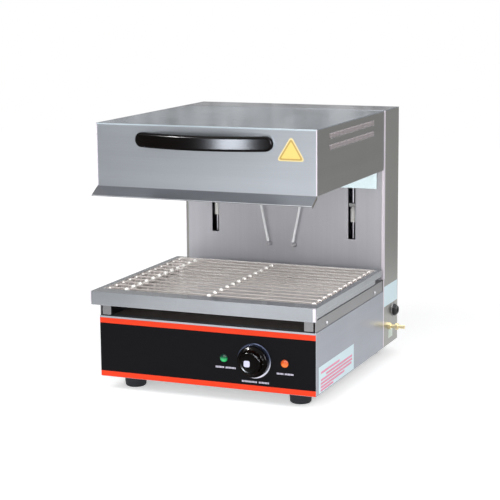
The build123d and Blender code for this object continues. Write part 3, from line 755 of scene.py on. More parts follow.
@dataclass(frozen=True)
class FinishBook:
    """Every finished material of the machine, by name."""

    shop: EffectShop
    made: dict[str, bpy.types.Material] = field(default_factory=dict)

    def dress(self, nodes: dict[str, Piece]) -> None:
        """Build every material and give each CAD node its own.

        Args:
            nodes: CAD nodes by name.
        """
        for finish in FINISHES:
            self.made[finish.name] = finish.material(self.shop)
            for name in finish.wearers:
                for slot in nodes[name].material_slots:
                    slot.material = self.made[finish.name]
            LOG.info("finish %s on %d nodes", finish.name, len(finish.wearers))


# ---------------------------------------------------------------- mesh work
@dataclass(frozen=True)
class Berth:
    """What a new piece belongs to: its body, a record slot that nothing here uses, and its finish.
    """

    body: str
    slot: str
    finish: str


@dataclass(frozen=True)
class Workshop:
    """Turns finished bmeshes into pieces that ride on the frame."""

    book: FinishBook

    def deliver(self, name: str, mesh: Mesh, berth: Berth, smooth: bool = False) -> Piece:
        """Make an object of a bmesh and fix it to its body.

        Args:
            name: The piece's name.
            mesh: Its bmesh, in the row frame, which is freed.
            berth: Body and finish; its slot is not used.
            smooth: Whether faces shade smoothly where they meet at a small angle.

        Returns:
            The object.
        """
        bmesh.ops.recalc_face_normals(mesh, faces=mesh.faces)
        data = bpy.data.meshes.new(name)
        mesh.to_mesh(data)
        mesh.free()
        if smooth:
            data.shade_smooth()
            data.set_sharp_from_angle(angle=SMOOTH_ANGLE)
        data.materials.append(self.book.made[berth.finish])
        piece = bpy.data.objects.new(name, data)
        bpy.context.scene.collection.objects.link(piece)
        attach(piece, berth.body)
        LOG.info("piece %s: %d faces on %s", name, len(data.polygons), berth.body)
        return piece


def back_middle(node: str) -> Vector:
    """Give the middle of the back of a CAD node's box.

    Args:
        node: The node's name.

    Returns:
        The point in metres.
    """
    low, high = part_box(node)
    return Vector(((low.x + high.x) / 2, high.y, (low.z + high.z) / 2))


def tile(mesh: Mesh, corners: list[Vector], rise: Vector, rounding: float = 0.0) -> None:
    """Add a thin plate with rounded corners.

    Args:
        mesh: The bmesh it goes into.
        corners: Its corners in order.
        rise: Thickness and direction.
        rounding: Radius of its corners.
    """
    known = set(mesh.faces)
    face = mesh.faces.new([mesh.verts.new(corner) for corner in corners])
    if rounding:
        bmesh.ops.bevel(mesh, geom=list(face.verts), offset=rounding, **CORNERS)
    fresh = [face for face in mesh.faces if face not in known]
    grown = bmesh.ops.extrude_face_region(mesh, geom=fresh)
    moved = [item for item in grown["geom"] if isinstance(item, Vert)]
    bmesh.ops.translate(mesh, verts=moved, vec=rise)


def lathe(mesh: Mesh, profile: tuple[Pair, ...], origin: Vector, turn: Matrix, steps: int) -> None:
    """Spin a profile of radius and height into a closed round form.

    Args:
        mesh: The bmesh it goes into.
        profile: Radius and height pairs in millimetres, along the axis.
        origin: Where the axis starts, in metres.
        turn: Rotation from +Z to the axis.
        steps: Steps round the axis.
    """
    known = set(mesh.verts)
    line = [mesh.verts.new((radius * MM, 0, height * MM)) for radius, height in profile]
    edges = [mesh.edges.new(pair) for pair in zip(line, line[1:])]
    bmesh.ops.spin(
        mesh, geom=line + edges, cent=(0, 0, 0), axis=(0, 0, 1), angle=math.tau, steps=steps,
        use_merge=True,
    )
    fresh = [vert for vert in mesh.verts if vert not in known]
    bmesh.ops.remove_doubles(mesh, verts=fresh, dist=1e-6)
    fresh = [vert for vert in mesh.verts if vert not in known]
    bmesh.ops.transform(mesh, matrix=Matrix.Translation(origin) @ turn, verts=fresh)


def next_ring(mesh: Mesh, ring: list[Vert]) -> list[Vert]:
    """Extrude a ring of vertices on the spot.

    Args:
        mesh: The bmesh it is in.
        ring: The ring's vertices.

    Returns:
        The new ring's vertices, in no set order.
    """
    known = set(ring)
    met = [edge for vert in ring for edge in vert.link_edges if edge.other_vert(vert) in known]
    grown = bmesh.ops.extrude_edge_only(mesh, edges=list(dict.fromkeys(met)))["geom"]
    return [item for item in grown if isinstance(item, Vert)]


@dataclass
class LabelSet:
    """Plain labels: a yellow triangle, two pale labels and a small tag."""

    shop: Workshop
    sheet: float = 0.15
    triangle: tuple[Pair, ...] = ((145.6, 465.4), (202.6, 465.4), (175.0, 512.4))
    triangle_rounding: float = 8.0
    # how far inside the outline each layer starts, and its finish
    triangle_layers: tuple[tuple[float, str], ...] = (
        (0.0, "triangle_rim"), (2.2, "triangle_band"), (5.2, "triangle_face"),
    )
    base_label: Limits = (-242.0, -40.0, 29.0, 80.0)
    column_label: Limits = (155.0, 247.0, 113.0, 156.5)
    tag: Limits = (187.0, 215.0, 39.5, 59.0)
    label_rounding: float = 1.5
    # height share of the line's foot, and the shares where it starts and ends
    rules: tuple[Triple, ...] = (
        (0.70, 0.06, 0.58), (0.55, 0.20, 0.95), (0.42, 0.06, 0.95), (0.29, 0.05, 0.93),
        (0.16, 0.05, 0.72), (0.04, 0.05, 0.4),
    )
    rule_height: float = 4.2
    ink: float = 0.05

    def build(self) -> None:
        """Make all labels."""
        self.triangle_label()
        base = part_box("right_base_side")[1].x
        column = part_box("column_right_side")[1].x
        self.side_label("base_side_label", self.base_label, base, "label_face")
        self.side_label("column_side_label", self.column_label, column, "label_face")
        self.side_label("column_side_tag", self.tag, column, "tag_face")
        self.label_rules(base + self.sheet * MM)

    def triangle_label(self) -> None:
        """Yellow triangle with a cream rim on the hood's front."""
        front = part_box("hood_top")[0].y
        centre = sum((Vector(corner) for corner in self.triangle), Vector((0, 0))) / 3
        for number, (rim, finish) in enumerate(self.triangle_layers):
            mesh = bmesh.new()
            corners = []
            for corner in self.triangle:
                out = Vector(corner) - centre
                inner = centre + out * (1 - 2 * rim / out.length)
                place = at(inner.x, 0, inner.y)
                corners.append(Vector((place.x, front, place.z)))
            lift = (number + 1) * self.sheet
            rounding = (self.triangle_rounding - rim) * MM
            tile(mesh, corners, Vector((0, -lift * MM, 0)), rounding)
            self.shop.deliver(finish, mesh, Berth("hood", "stripe_red", finish))

    def side_label(self, name: str, limits: Limits, side: float, finish: str) -> None:
        """Bare label on a face that looks to the right.

        Args:
            name: The piece's name.
            limits: Front, back, bottom and top in millimetres.
            side: X of the face, in metres.
            finish: The label's finish.
        """
        mesh = bmesh.new()
        self.plate(mesh, limits, side, self.sheet, self.label_rounding)
        self.shop.deliver(name, mesh, Berth("base", "nylon_white", finish))

    @staticmethod
    def plate(mesh: Mesh, limits: Limits, side: float, thickness: float, rounding: float) -> None:
        """Add a thin upright plate on a face that looks to the right.

        Args:
            mesh: The bmesh it goes into.
            limits: Front, back, bottom and top in millimetres.
            side: X of the face, in metres.
            thickness: Its thickness in millimetres.
            rounding: Radius of its corners in millimetres.
        """
        front, back, bottom, top = limits
        outline = ((front, bottom), (back, bottom), (back, top), (front, top))
        places = (at(0, y, z) for y, z in outline)
        corners = [Vector((side, place.y, place.z)) for place in places]
        tile(mesh, corners, Vector((thickness * MM, 0, 0)), rounding * MM)

    def label_rules(self, side: float) -> None:
        """Plain ruled lines on the base label, in place of its print.

        Args:
            side: X of the label's face, in metres.
        """
        front, back, bottom, top = self.base_label
        mesh = bmesh.new()
        for height, start, end in self.rules:
            foot = bottom + height * (top - bottom)
            near, far = (front + share * (back - front) for share in (start, end))
            self.plate(mesh, (near, far, foot, foot + self.rule_height), side, self.ink, 0.0)
        self.shop.deliver("base_label_rules", mesh, Berth("base", "stripe_red", "label_rule"))


@dataclass
class PanelPrint:
    """Light legends under the two lamps and the knob, as plain block marks."""

    shop: Workshop
    # left end, right end and height, and the shares of the words and the gaps between them
    legends: tuple[tuple[float, float, float, tuple[float, ...]], ...] = (
        (21.5, 63.0, 67.8, (0.42, 0.08, 0.5)),
        (75.5, 130.5, 44.6, (0.56, 0.07, 0.37)),
        (146.5, 180.0, 65.6, (0.4, 0.08, 0.52)),
    )
    height: float = 3.4
    letter: float = 2.3
    gap: float = 0.7
    ink: float = 0.05

    def build(self) -> None:
        """Make every legend as one piece."""
        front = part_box("panel_film")[0].y
        mesh = bmesh.new()
        for left, right, z, words in self.legends:
            start = left
            for number, share in enumerate(words):
                end = start + share * (right - left)
                if number % 2 == 0:
                    self.word(mesh, (start, end), z, front)
                start = end
        self.shop.deliver("panel_legends", mesh, Berth("base", "pointer_white", "legend_print"))

    def word(self, mesh: Mesh, ends: Pair, z: float, front: float) -> None:
        """Add one word of even block marks.

        Args:
            mesh: The bmesh it goes into.
            ends: Left and right end in millimetres.
            z: Middle height in millimetres.
            front: Y of the film's face in metres.
        """
        start, end = ends
        count = max(1, round((end - start + self.gap) / (self.letter + self.gap)))
        pitch = (end - start + self.gap) / count
        low, high = z - self.height / 2, z + self.height / 2
        for index in range(count):
            x0 = start + index * pitch
            x1 = x0 + pitch - self.gap
            outline = ((x0, low), (x1, low), (x1, high), (x0, high))
            places = (at(x, 0, level) for x, level in outline)
            corners = [Vector((place.x, front, place.z)) for place in places]
            tile(mesh, corners, Vector((0, -self.ink * MM, 0)))


@dataclass
class Knob:
    """Glossy knob with a wide cup behind, a fluted grip and a square light pointer."""

    shop: Workshop
    flutes: int = 12
    flute_depth: float = 1.6
    around: int = 144
    # radius, distance from the back face, share of the flute depth
    levels: tuple[Triple, ...] = (
        (3.2, 18.0, 0.0), (3.2, 0.0, 0.0), (25.9, 0.0, 0.0), (26.8, 0.4, 0.0), (28.6, 2.6, 0.0),
        (29.9, 4.6, 0.0), (30.4, 5.9, 0.0), (30.5, 7.4, 0.0), (30.2, 8.8, 0.0), (29.4, 9.9, 0.0),
        (27.9, 10.9, 0.0), (26.0, 11.7, 0.0), (24.8, 12.5, 0.2), (24.1, 13.4, 0.7),
        (23.5, 14.8, 1.0), (22.5, 18.4, 1.0), (21.9, 20.0, 0.8), (21.2, 21.1, 0.4),
        (20.2, 21.8, 0.1), (19.0, 22.0, 0.0), (18.2, 21.9, 0.0), (17.4, 21.5, 0.0),
        (16.4, 21.3, 0.0), (8.0, 21.3, 0.0), (0.6, 21.3, 0.0),
    )
    pointer_centre: float = -5.2
    pointer_drop: float = 1.0
    pointer_width: float = 12.0
    pointer_rounding: float = 3.0
    pointer_proud: float = 0.25
    pointer_sunk: float = 1.5

    def build(self) -> None:
        """Make the knob and its pointer in place of their CAD nodes."""
        axis = back_middle("control_knob")
        mesh = bmesh.new()
        ring = bmesh.ops.create_circle(mesh, segments=self.around, radius=1.0)["verts"]
        angles = {vert: math.atan2(vert.co.y, vert.co.x) for vert in ring}
        for number, (radius, depth, flute) in enumerate(self.levels):
            if number:
                ring = next_ring(mesh, ring)
                angles = {
                    vert: math.atan2(vert.co.z - axis.z, vert.co.x - axis.x) for vert in ring
                }
            for vert, angle in angles.items():
                dip = flute * self.flute_depth * max(0.0, math.cos(self.flutes * angle)) ** 2
                reach = (radius - dip) * MM
                offset = (reach * math.cos(angle), -depth * MM, reach * math.sin(angle))
                vert.co = axis + Vector(offset)
        ends = [edge for edge in mesh.edges if edge.is_boundary]
        bmesh.ops.holes_fill(mesh, edges=ends, sides=0)
        berth = Berth("knob", "black_gloss", "gloss_moulding")
        knob = self.shop.deliver("fluted_knob", mesh, berth, smooth=True)
        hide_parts("control_knob")
        self.pointer(Vector((axis.x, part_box("control_knob")[0].y, axis.z)))

    def pointer(self, face: Vector) -> None:
        """Rounded light square let into the knob's face.

        Args:
            face: The middle of the knob's front.
        """
        half = self.pointer_width / 2
        corners = []
        for dx, dz in ((-half, -half), (half, -half), (half, half), (-half, half)):
            offset = (self.pointer_centre + dx, self.pointer_sunk, dz - self.pointer_drop)
            corners.append(face + Vector(offset) * MM)
        mesh = bmesh.new()
        rise = Vector((0, -(self.pointer_sunk + self.pointer_proud) * MM, 0))
        tile(mesh, corners, rise, self.pointer_rounding * MM)
        berth = Berth("knob", "pointer_white", "pointer_print")
        piece = self.shop.deliver("square_pointer", mesh, berth)
        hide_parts("knob_pointer")


@dataclass
class LampLenses:
    """Two domed lenses, each in a thin black ring."""

    shop: Workshop
    lenses: tuple[tuple[str, str, str], ...] = (
        ("green_lamp_lens", "green_dome", "green_lens"),
        ("orange_lamp_lens", "orange_dome", "orange_lens"),
    )
    dome: tuple[Pair, ...] = (
        (0.0, 0.0), (7.5, 0.0), (7.5, 0.9), (7.3, 1.7), (6.8, 2.7), (6.0, 3.6), (4.8, 4.5),
        (3.3, 5.2), (1.7, 5.6), (0.0, 5.75),
    )
    ring: tuple[Pair, ...] = (
        (7.5, 0.0), (8.5, 0.0), (8.5, 0.8), (8.3, 1.3), (7.95, 1.5), (7.6, 1.3), (7.5, 0.9),
        (7.5, 0.0),
    )

    def build(self) -> None:
        """Make both lenses and their rings in place of their CAD nodes."""
        for node, name, finish in self.lenses:
            for piece, profile, slot, dress in (
                (name, self.dome, finish, finish),
                (f"{name}_ring", self.ring, "black_gloss", "lamp_ring"),
            ):
                mesh = bmesh.new()
                lathe(mesh, profile, back_middle(node), FORWARD, steps=40)
                made = self.shop.deliver(piece, mesh, Berth("base", slot, dress), smooth=True)
                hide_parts(node)


@dataclass
class SupplyLeads:
    """Two sleeved leads that run from the column's bushes up under the hood."""

    shop: Workshop
    lower: Triple = (28.0, 138.0, 243.0)
    upper: Triple = (58.0, 138.0, 399.0)
    radius: float = 2.5
    collar_radius: float = 2.9
    collar_length: float = 7.0
    bow: float = 1.1
    steps: int = 36
    around: int = 20
    travel: float = 115.0
    ferrule_drop: float = 7.0
    ferrule: tuple[Pair, ...] = (
        (0.0, 0.0), (4.6, 0.0), (4.6, 0.8), (4.0, 1.6), (3.7, 6.0), (3.7, 13.0), (3.2, 15.4),
        (2.2, 16.6), (0.0, 17.0),
    )

    def build(self) -> None:
        """Make the leads and the ferrules that they leave by, in place of their CAD nodes."""
        mesh = bmesh.new()
        for side in (-1, 1):
            self.lead(mesh, side)
        berth = Berth("base", "glass_sleeve", "glass_sleeve")
        leads = self.shop.deliver("sleeved_leads", mesh, berth, smooth=True)
        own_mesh(leads)
        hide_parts("supply_leads")
        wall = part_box("column_front")[0].y
        mesh = bmesh.new()
        for side in (-1, 1):
            seat = at(side * self.lower[0], 0, self.lower[2] - self.ferrule_drop)
            lathe(mesh, self.ferrule, Vector((seat.x, wall, seat.z)), FORWARD, steps=28)
        berth = Berth("base", "nylon_white", "ferrule_pale")
        ferrules = self.shop.deliver("lead_ferrules", mesh, berth, smooth=True)
        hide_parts("column_lead_bushes")

    def lead(self, mesh: Mesh, side: int) -> None:
        """Add one lead, a tube with a collar at each end and a slight bow.

        Args:
            mesh: The bmesh it goes into.
            side: 1 for the right lead, -1 for the left one.
        """
        start = at(side * self.lower[0], self.lower[1], self.lower[2])
        end = at(side * self.upper[0], self.upper[1], self.upper[2])
        run = end - start
        share = self.collar_length / (run.length / MM)
        circle = bmesh.ops.create_circle(mesh, cap_ends=True, segments=self.around, radius=1.0)
        ring = circle["verts"]
        base = [vert.co.copy() for vert in ring]
        for step in range(self.steps + 1):
            if step:
                order = {self.spot_key(vert): index for index, vert in enumerate(ring)}
                ring = sorted(next_ring(mesh, ring), key=lambda vert: order[self.spot_key(vert)])
            spot = step / self.steps
            radius = self.collar_radius if min(spot, 1 - spot) < share else self.radius
            bow = side * self.bow * math.sin(math.pi * spot) * MM
            middle = start + run * spot + Vector((bow, 0, 0))
            for vert, place in zip(ring, base):
                vert.co = middle + place * radius * MM
        mesh.faces.new(ring)

    @staticmethod
    def spot_key(vert: Vert) -> tuple[float, ...]:
        """Give a vertex's place in a form that finds its copy on the same spot."""
        return tuple(round(value, 7) for value in vert.co)


@dataclass
class RackWelds:
    """Small weld beads where the rack's wires sit on its bars, and a thin stay near the left, both
    near white as a painted highlight.
    """

    shop: Workshop
    front: float = -235.0
    back: float = 86.0
    wires: int = 12
    # X and height of the rows, and the radius of their beads
    rows: tuple[Triple, ...] = (
        (-212.0, 199.8, 2.5), (212.0, 199.8, 2.5), (-175.0, 199.8, 3.9), (0.0, 199.8, 3.9),
        (-217.0, 178.0, 2.8), (217.0, 178.0, 2.8),
    )
    bead_shape: Triple = (1.25, 1.15, 0.9)
    # X, height and radius
    stay: Triple = (-175.0, 197.9, 1.5)

    def build(self) -> None:
        """Make every bead and the stay as one piece."""
        mesh = bmesh.new()
        x, z, radius = self.stay
        bmesh.ops.create_cone(
            mesh, cap_ends=True, segments=16, radius1=radius * MM, radius2=radius * MM,
            depth=(self.back - self.front) * MM,
            matrix=Matrix.Translation(at(x, (self.front + self.back) / 2, z)) @ FORWARD,
        )
        pitch = (self.back - self.front) / (self.wires - 1)
        for index in range(self.wires):
            for x, z, bead in self.rows:
                place = Matrix.Translation(at(x, self.front + index * pitch, z))
                shape = place @ Matrix.Diagonal((*self.bead_shape, 1.0))
                bmesh.ops.create_icosphere(mesh, subdivisions=2, radius=bead * MM, matrix=shape)
        berth = Berth("rack", "chromed_wire", "weld_bright")
        self.shop.deliver("rack_welds", mesh, berth, smooth=True)


@dataclass
class VentRibs:
    """Rounded lips that stand between the vent slots of both hood sides."""

    shop: Workshop
    rows: tuple[float, ...] = (485.0, 506.5)
    slots: int = 34
    pitch: float = 8.0
    centre: float = -51.0
    height: float = 11.0
    radius: float = 2.3
    proud: float = 1.0

    def build(self) -> None:
        """Make the lips of each side as one piece."""
        for side, name in ((-1, "left"), (1, "right")):
            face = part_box(f"{name}_hood_side")[max(side, 0)].x
            mesh = bmesh.new()
            for row in self.rows:
                for index in range(self.slots - 1):
                    y = self.centre + (index - (self.slots - 2) / 2) * self.pitch
                    spot = at(0, y, row)
                    self.lip(mesh, Vector((face, spot.y, spot.z)), side)
            berth = Berth("hood", "sheet_steel", "vent_lip")
            self.shop.deliver(f"{name}_vent_lips", mesh, berth, smooth=True)

    def lip(self, mesh: Mesh, spot: Vector, side: int) -> None:
        """Add one lip, a flattened upright bead.

        Args:
            mesh: The bmesh it goes into.
            spot: Its middle on the sheet's outer face, in metres.
            side: 1 for the right side, -1 for the left one.
        """
        sizes = (self.proud * MM, self.radius * MM, self.height / 2 * MM, 1.0)
        shape = Matrix.Translation(spot) @ Matrix.Diagonal(sizes)
        made = bmesh.ops.create_uvsphere(
            mesh, u_segments=10, v_segments=7, radius=1.0, matrix=shape,
        )
        back = [vert for vert in made["verts"] if (vert.co.x - spot.x) * side < -1e-6]
        bmesh.ops.delete(mesh, geom=back, context="VERTS")


@dataclass(frozen=True)
class Fold:
    """One painted strip along a fold, a highlight or a shade: its edge's ends, the two ways into
    its faces, and its reach there.
    """

    start: Triple
    end: Triple
    ways: tuple[Triple, Triple]
    widths: Pair
    proud: float = 0.2


def upright_folds(
    x: float, y: float, ends: Pair, fronts: Pair, depth: float, proud: float = 0.2,
) -> tuple[Fold, ...]:
    """Give the painted highlight strips at a sheet's right and left front corner.

    Args:
        x: The right corner's X; the left one is across the middle.
        y: The corners' Y.
        ends: Foot and top.
        fronts: Widths of the right and the left fold on the front.
        depth: Their width on the sides.
        proud: How far they stand out.

    Returns:
        The right fold and the left one.
    """
    foot, top = ends
    folds = []
    for side, width in zip((1, -1), fronts):
        ways = ((-side, 0, 0), (0, 1, 0))
        folds.append(Fold((side * x, y, foot), (side * x, y, top), ways, (width, depth), proud))
    return tuple(folds)


@dataclass(frozen=True)
class FoldSet:
    """The painted fold strips that make one piece, with its body and finish."""

    name: str
    body: str
    finish: str
    folds: tuple[Fold, ...]


@dataclass
class PaintedFoldStrips:
    """Strips of painted highlight along the folds of the sheets: hood, lip, tray and column, and
    strips of painted shade at the lip's ends.
    """

    shop: Workshop
    sets: tuple[FoldSet, ...] = (
        FoldSet(
            "hood_folds", "hood", "fold_bright",
            upright_folds(225.0, -250.0, (404.0, 524.6), (1.7, 1.7), 0.6),
        ),
        FoldSet("lip_hem", "hood", "hem_bright", (
            Fold(
                (-224.0, -277.5, 388.0), (224.0, -277.5, 388.0),
                ((0, 0.878, 0.479), (0, 0.479, -0.878)), (1.8, 0.2),
            ),
        )),
        # painted shade: a dark strip along each end of the lip
        FoldSet("lip_end_folds", "hood", "lip_end_dark", (
            Fold(
                (225.0, -250.4, 403.6), (225.0, -276.6, 388.3),
                ((0, 0.507, -0.862), (-1, 0, 0)), (5.6, 0.6),
            ),
            Fold(
                (-225.0, -250.4, 403.6), (-225.0, -276.6, 388.3),
                ((0, 0.507, -0.862), (1, 0, 0)), (2.0, 0.6),
            ),
        )),
        FoldSet("crown_fold", "hood", "crown_bright", (
            Fold(
                (-224.0, -250.0, 524.7), (223.0, -250.0, 524.7),
                ((0, 0, -1), (0, 1, 0)), (2.6, 0.6),
            ),
        )),
        FoldSet(
            "tray_folds", "tray", "fold_bright",
            upright_folds(232.3, -278.4, (175.0, 199.6), (5.5, 1.6), 0.8, 0.15),
        ),
        FoldSet(
            "column_folds", "base", "fold_bright",
            upright_folds(225.0, 150.5, (173.0, 524.6), (5.0, 1.2), 7.5)
            + upright_folds(225.0, 150.5, (29.0, 172.8), (0.3, 0.3), 4.5),
        ),
    )

    def build(self) -> None:
        """Make the painted strips of each sheet as one piece."""
        for item in self.sets:
            mesh = bmesh.new()
            for fold in item.folds:
                self.strip(mesh, fold)
            self.shop.deliver(item.name, mesh, Berth(item.body, "sheet_steel", item.finish))

    @staticmethod
    def strip(mesh: Mesh, fold: Fold) -> None:
        """Add one angle-shaped strip over an edge.

        Args:
            mesh: The bmesh it goes into.
            fold: The edge and its sizes.
        """
        start, end = at(*fold.start), at(*fold.end)
        first, second = (Vector(way) for way in fold.ways)
        lift = fold.proud * MM
        wide, narrow = (width * MM for width in fold.widths)
        section = [
            start - (first + second) * lift, start + first * wide - second * lift,
            start + first * wide, start, start + second * narrow,
            start + second * narrow - first * lift,
        ]
        tile(mesh, section, end - start)


@dataclass
class GlandWasher:
    """Steel washer between the cable gland and the column's side."""

    shop: Workshop
    profile: tuple[Pair, ...] = (
        (11.4, 0.0), (15.2, 0.0), (15.2, 0.7), (14.7, 1.1), (11.4, 1.1), (11.4, 0.0),
    )

    def build(self) -> None:
        """Make the washer round the gland."""
        low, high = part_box("cable_gland")
        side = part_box("column_right_side")[1].x
        mesh = bmesh.new()
        seat = Vector((side, (low.y + high.y) / 2, (low.z + high.z) / 2))
        lathe(mesh, self.profile, seat, OUTWARD, steps=40)
        berth = Berth("base", "zinc_steel", "washer_steel")
        self.shop.deliver("gland_washer", mesh, berth, smooth=True)


# ---------------------------------------------------------------- studio
@dataclass(frozen=True)
class Lamp:
    """One soft lamp: its place and size in metres, its power in watts and its colour."""

    name: str
    place: Triple
    size: Pair
    power: float
    colour: Triple = (1.0, 1.0, 1.0)
    mirrored: bool = True

    def hang(self) -> Piece:
        """Hang the lamp, turned to the machine's middle.

        Returns:
            The lamp's object.
        """
        data = bpy.data.lights.new(self.name, "AREA")
        data.shape = "RECTANGLE"
        data.size, data.size_y = self.size
        data.energy = self.power
        data.color = self.colour
        lamp = bpy.data.objects.new(self.name, data)
        place = Vector(self.place)
        aim = (place - LAMP_TARGET).to_track_quat("Z", "Y")
        lamp.matrix_world = Matrix.Translation(place) @ aim.to_matrix().to_4x4()
        lamp.visible_camera = False
        lamp.visible_glossy = self.mirrored
        bpy.context.scene.collection.objects.link(lamp)
        return lamp


@dataclass(frozen=True)
class DimSide:
    """A side of the room that mirrors see darker: its way, and its shade's cosines and level."""

    way: Triple
    reach: Pair
    level: float


@dataclass
class Studio:
    """Pale floor, white surroundings, soft lamps and the photograph's camera."""

    camera_place: Triple = (1.36016, -2.66635, 0.81087)
    camera_azimuth: float = 22.64
    camera_elevation: float = 10.27
    camera_roll: float = -0.52
    focal_pixels: float = 1548.08
    sensor: float = 36.0
    floor_half: float = 4.0
    floor_colour: tuple[float, float, float, float] = (0.86, 0.86, 0.86, 1.0)
    floor_dims: Pair = (0.7, 1.6)
    floor_lifts: Limits = (0.8, 2.6, 0.4, 0.6)
    shade: tuple[float, float, float, float] = (0.5, 0.5, 0.5, 1.0)
    dim_back: DimSide = DimSide((0.0, 1.0, 0.0), (0.2, 0.8), 0.53)
    dim_corner: DimSide = DimSide((0.384, 0.923, 0.0), (0.72, 0.95), 0.44)
    dim_front: DimSide = DimSide((-0.75, -0.66, 0.0), (0.83, 0.97), 0.3)
    ceiling_starts: Pair = (0.4, 0.75)
    # X of the way up where the ceiling brightens, and its levels before and after
    ceiling: Limits = (-0.41, -0.35, 0.0, 3.8)
    clutter_starts: Pair = (0.04, 0.08)
    clutter_scale: Triple = (92.0, 92.0, 300.0)
    # noise where the patches start and end, and the levels between and on them
    clutter: Limits = (0.42, 0.58, 0.42, 1.28)
    room_lamps: tuple[Lamp, ...] = (
        Lamp("key_lamp", (-1.3, -1.7, 2.3), (1.5, 1.5), 33.0, mirrored=False),
        Lamp("side_lamp", (2.3, -0.6, 1.9), (1.3, 1.3), 26.0),
        Lamp("front_lamp", (0.22, -2.35, 0.75), (1.2, 1.0), 25.0, mirrored=False),
    )
    gloss_lamps: tuple[Lamp, ...] = (
        Lamp("highlight_lamp", (0.27, -2.3, 0.40), (0.85, 0.5), 800.0, (0.84, 0.9, 1.0)),
        Lamp("upper_glint_lamp", (-1.5, -1.6, 1.9), (0.3, 0.3), 900.0),
        Lamp("right_glint_lamp", (2.5, -0.9, 0.9), (0.5, 1.2), 460.0, (0.92, 0.9, 1.0)),
    )
    glossy: tuple[str, ...] = ("handle", "fluted_knob")
    bead_lamps: tuple[Lamp, ...] = (Lamp("bead_lamp", (0.4, -2.0, 1.3), (0.6, 0.6), 16.0),)
    beaded: tuple[str, ...] = ("rack_welds",)

    def build(self) -> None:
        """Make the whole studio."""
        self.camera()
        self.world()
        self.floor()
        for lamp in self.room_lamps:
            lamp.hang()
        gloss = tuple(lamp.hang() for lamp in self.gloss_lamps)
        beads = tuple(lamp.hang() for lamp in self.bead_lamps)
        self.link(gloss, self.glossy, False)
        self.link(beads, self.beaded, True)

    @staticmethod
    def link(lamps: tuple[Piece, ...], pieces: tuple[str, ...], diffuse: bool) -> None:
        """Let lamps light nothing but some small pieces.

        Args:
            lamps: The lamps.
            pieces: Names of the pieces.
            diffuse: Whether they light the pieces' own colour too, and not their gloss alone.
        """
        lit = bpy.data.collections.new(f"lit_by_{lamps[0].name}")
        for name in pieces:
            lit.objects.link(bpy.data.objects[name])
        for lamp in lamps:
            lamp.light_linking.receiver_collection = lit
            lamp.visible_diffuse = diffuse

    def camera(self) -> None:
        """Place the camera where the photograph was taken from."""
        angles = (self.camera_azimuth, self.camera_elevation, self.camera_roll)
        azimuth, elevation, roll = (math.radians(angle) for angle in angles)
        flat = math.cos(elevation)
        away = (math.sin(azimuth) * flat, -math.cos(azimuth) * flat, math.sin(elevation))
        back = Vector(away)
        level = Vector((math.cos(azimuth), math.sin(azimuth), 0.0))
        upright = back.cross(level)
        right = math.cos(roll) * level + math.sin(roll) * upright
        up = -math.sin(roll) * level + math.cos(roll) * upright
        data = bpy.data.cameras.new("photo_camera")
        data.sensor_fit = "HORIZONTAL"
        data.sensor_width = self.sensor
        data.lens = self.focal_pixels * self.sensor / IMAGE_SIDE
        camera = bpy.data.objects.new("photo_camera", data)
        turn = Matrix((right, up, back)).transposed().to_4x4()
        camera.matrix_world = Matrix.Translation(self.camera_place) @ turn
        bpy.context.scene.collection.objects.link(camera)
        bpy.context.scene.camera = camera

    @staticmethod
    def seen(bench: NodeBench) -> tuple[Socket, Socket]:
        """Tell rays that look from rays that light.

        Args:
            bench: The tree's bench.

        Returns:
            A socket that is 1 for the camera, and one that is 1 for mirrors and glass.
        """
        path = bench.add("ShaderNodeLightPath").outputs
        mirrored = bench.calc("MAXIMUM", path["Is Glossy Ray"], path["Is Transmission Ray"])
        return path["Is Camera Ray"], mirrored

    def room(self, bench: NodeBench, direction: Socket) -> Socket:
        """Give the room's shade in a level direction, as mirrors see it.

        Args:
            bench: The tree's bench.
            direction: Direction from the machine.

        Returns:
            A shade from 0 to 1.
        """
        unit = bench.vector("NORMALIZE", bench.vector("MULTIPLY", direction, (1.0, 1.0, 0.0)))
        levels = []
        for side in (self.dim_back, self.dim_corner, self.dim_front):
            near = bench.vector("DOT_PRODUCT", unit, side.way, "Value")
            levels.append(bench.ramp(near, *side.reach, 1.0, side.level))
        back, corner, front = levels
        return bench.calc("MULTIPLY", bench.calc("MINIMUM", back, corner), front)

    def world(self) -> None:
        """White to look at, a shaded room in reflections, and plain soft light."""
        world = bpy.data.worlds.new("studio_world")
        bpy.context.scene.world = world
        world.use_nodes = True
        bench = NodeBench(world.node_tree)
        shown, mirrored = self.seen(bench)
        direction = bench.add("ShaderNodeTexCoord").outputs["Generated"]
        ways = bench.axes(direction)
        patches = bench.noise(bench.vector("MULTIPLY", direction, self.clutter_scale), 1.0, 2.0)
        clutter = bench.ramp(patches, *self.clutter)
        uneven = bench.swing(clutter, 1.0, bench.ramp(ways["Z"], *self.clutter_starts))
        walls = bench.grey(bench.calc("MULTIPLY", self.room(bench, direction), uneven))
        ceiling = bench.grey(bench.ramp(ways["X"], *self.ceiling))
        room = bench.blend(bench.ramp(ways["Z"], *self.ceiling_starts), walls, ceiling)
        colour = bench.blend(shown, bench.blend(mirrored, self.shade, room), WHITE)
        bench.fill(world.node_tree.nodes["Background"], {"Color": colour, "Strength": 1.0})

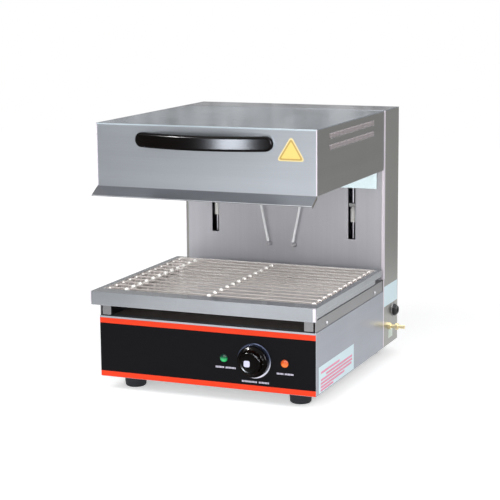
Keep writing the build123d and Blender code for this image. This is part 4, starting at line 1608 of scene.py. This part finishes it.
    def floor(self) -> None:
        """Pale floor that runs into the white surroundings and keeps the shadow."""
        mesh = bmesh.new()
        bmesh.ops.create_grid(
            mesh, x_segments=1, y_segments=1, size=self.floor_half,
            matrix=Matrix.Translation(MIDDLE),
        )
        data = bpy.data.meshes.new("studio_floor")
        mesh.to_mesh(data)
        mesh.free()
        data.materials.append(self.floor_material())
        floor = bpy.data.objects.new("studio_floor", data)
        bpy.context.scene.collection.objects.link(floor)

    def floor_material(self) -> bpy.types.Material:
        """Build the floor's material, which mirrors see dimmed as the room is.

        Returns:
            The material.
        """
        made = bpy.data.materials.new("studio_floor")
        made.use_nodes = True
        bench = NodeBench(made.node_tree)
        made.node_tree.nodes.remove(made.node_tree.nodes["Principled BSDF"])
        shown, mirrored = self.seen(bench)
        place = bench.add("ShaderNodeNewGeometry").outputs["Position"]
        offset = bench.vector("SUBTRACT", place, MIDDLE)
        reach = bench.vector("LENGTH", offset, out="Value")
        away = bench.calc("SUBTRACT", 1.0, self.room(bench, offset))
        far = bench.calc("MULTIPLY", away, bench.ramp(reach, *self.floor_dims))
        shade = bench.calc("SUBTRACT", 1.0, bench.calc("MULTIPLY", far, mirrored))
        paint = bench.blend(1.0, self.floor_colour, bench.grey(shade), "MULTIPLY")
        matt = bench.add("ShaderNodeBsdfDiffuse", {"Color": paint})
        looked = bench.calc("MAXIMUM", shown, mirrored)
        lift = bench.calc("MULTIPLY", looked, bench.ramp(reach, *self.floor_lifts))
        glow = {"Color": WHITE, "Strength": bench.calc("MULTIPLY", lift, shade)}
        light = bench.add("ShaderNodeEmission", glow)
        total = bench.add("ShaderNodeAddShader", {0: matt.outputs[0], 1: light.outputs[0]})
        bench.fill(made.node_tree.nodes["Material Output"], {"Surface": total.outputs[0]})
        return made


def main() -> None:
    """Load the frame, dress it, add the pieces and set up the studio."""
    logging.basicConfig(level=logging.INFO, format="%(name)s: %(message)s")
    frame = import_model()
    bpy.context.scene.view_settings.view_transform = "Standard"
    book = FinishBook(EffectShop())
    book.dress(frame["nodes"])
    shop = Workshop(book)
    assemblies = (
        LabelSet, PanelPrint, Knob, LampLenses, SupplyLeads, RackWelds, VentRibs, PaintedFoldStrips,
        GlandWasher,
    )
    for assembly in assemblies:
        assembly(shop).build()
        LOG.info("built %s", assembly.__name__)
    Studio().build()


if __name__ == "__main__":
    main()
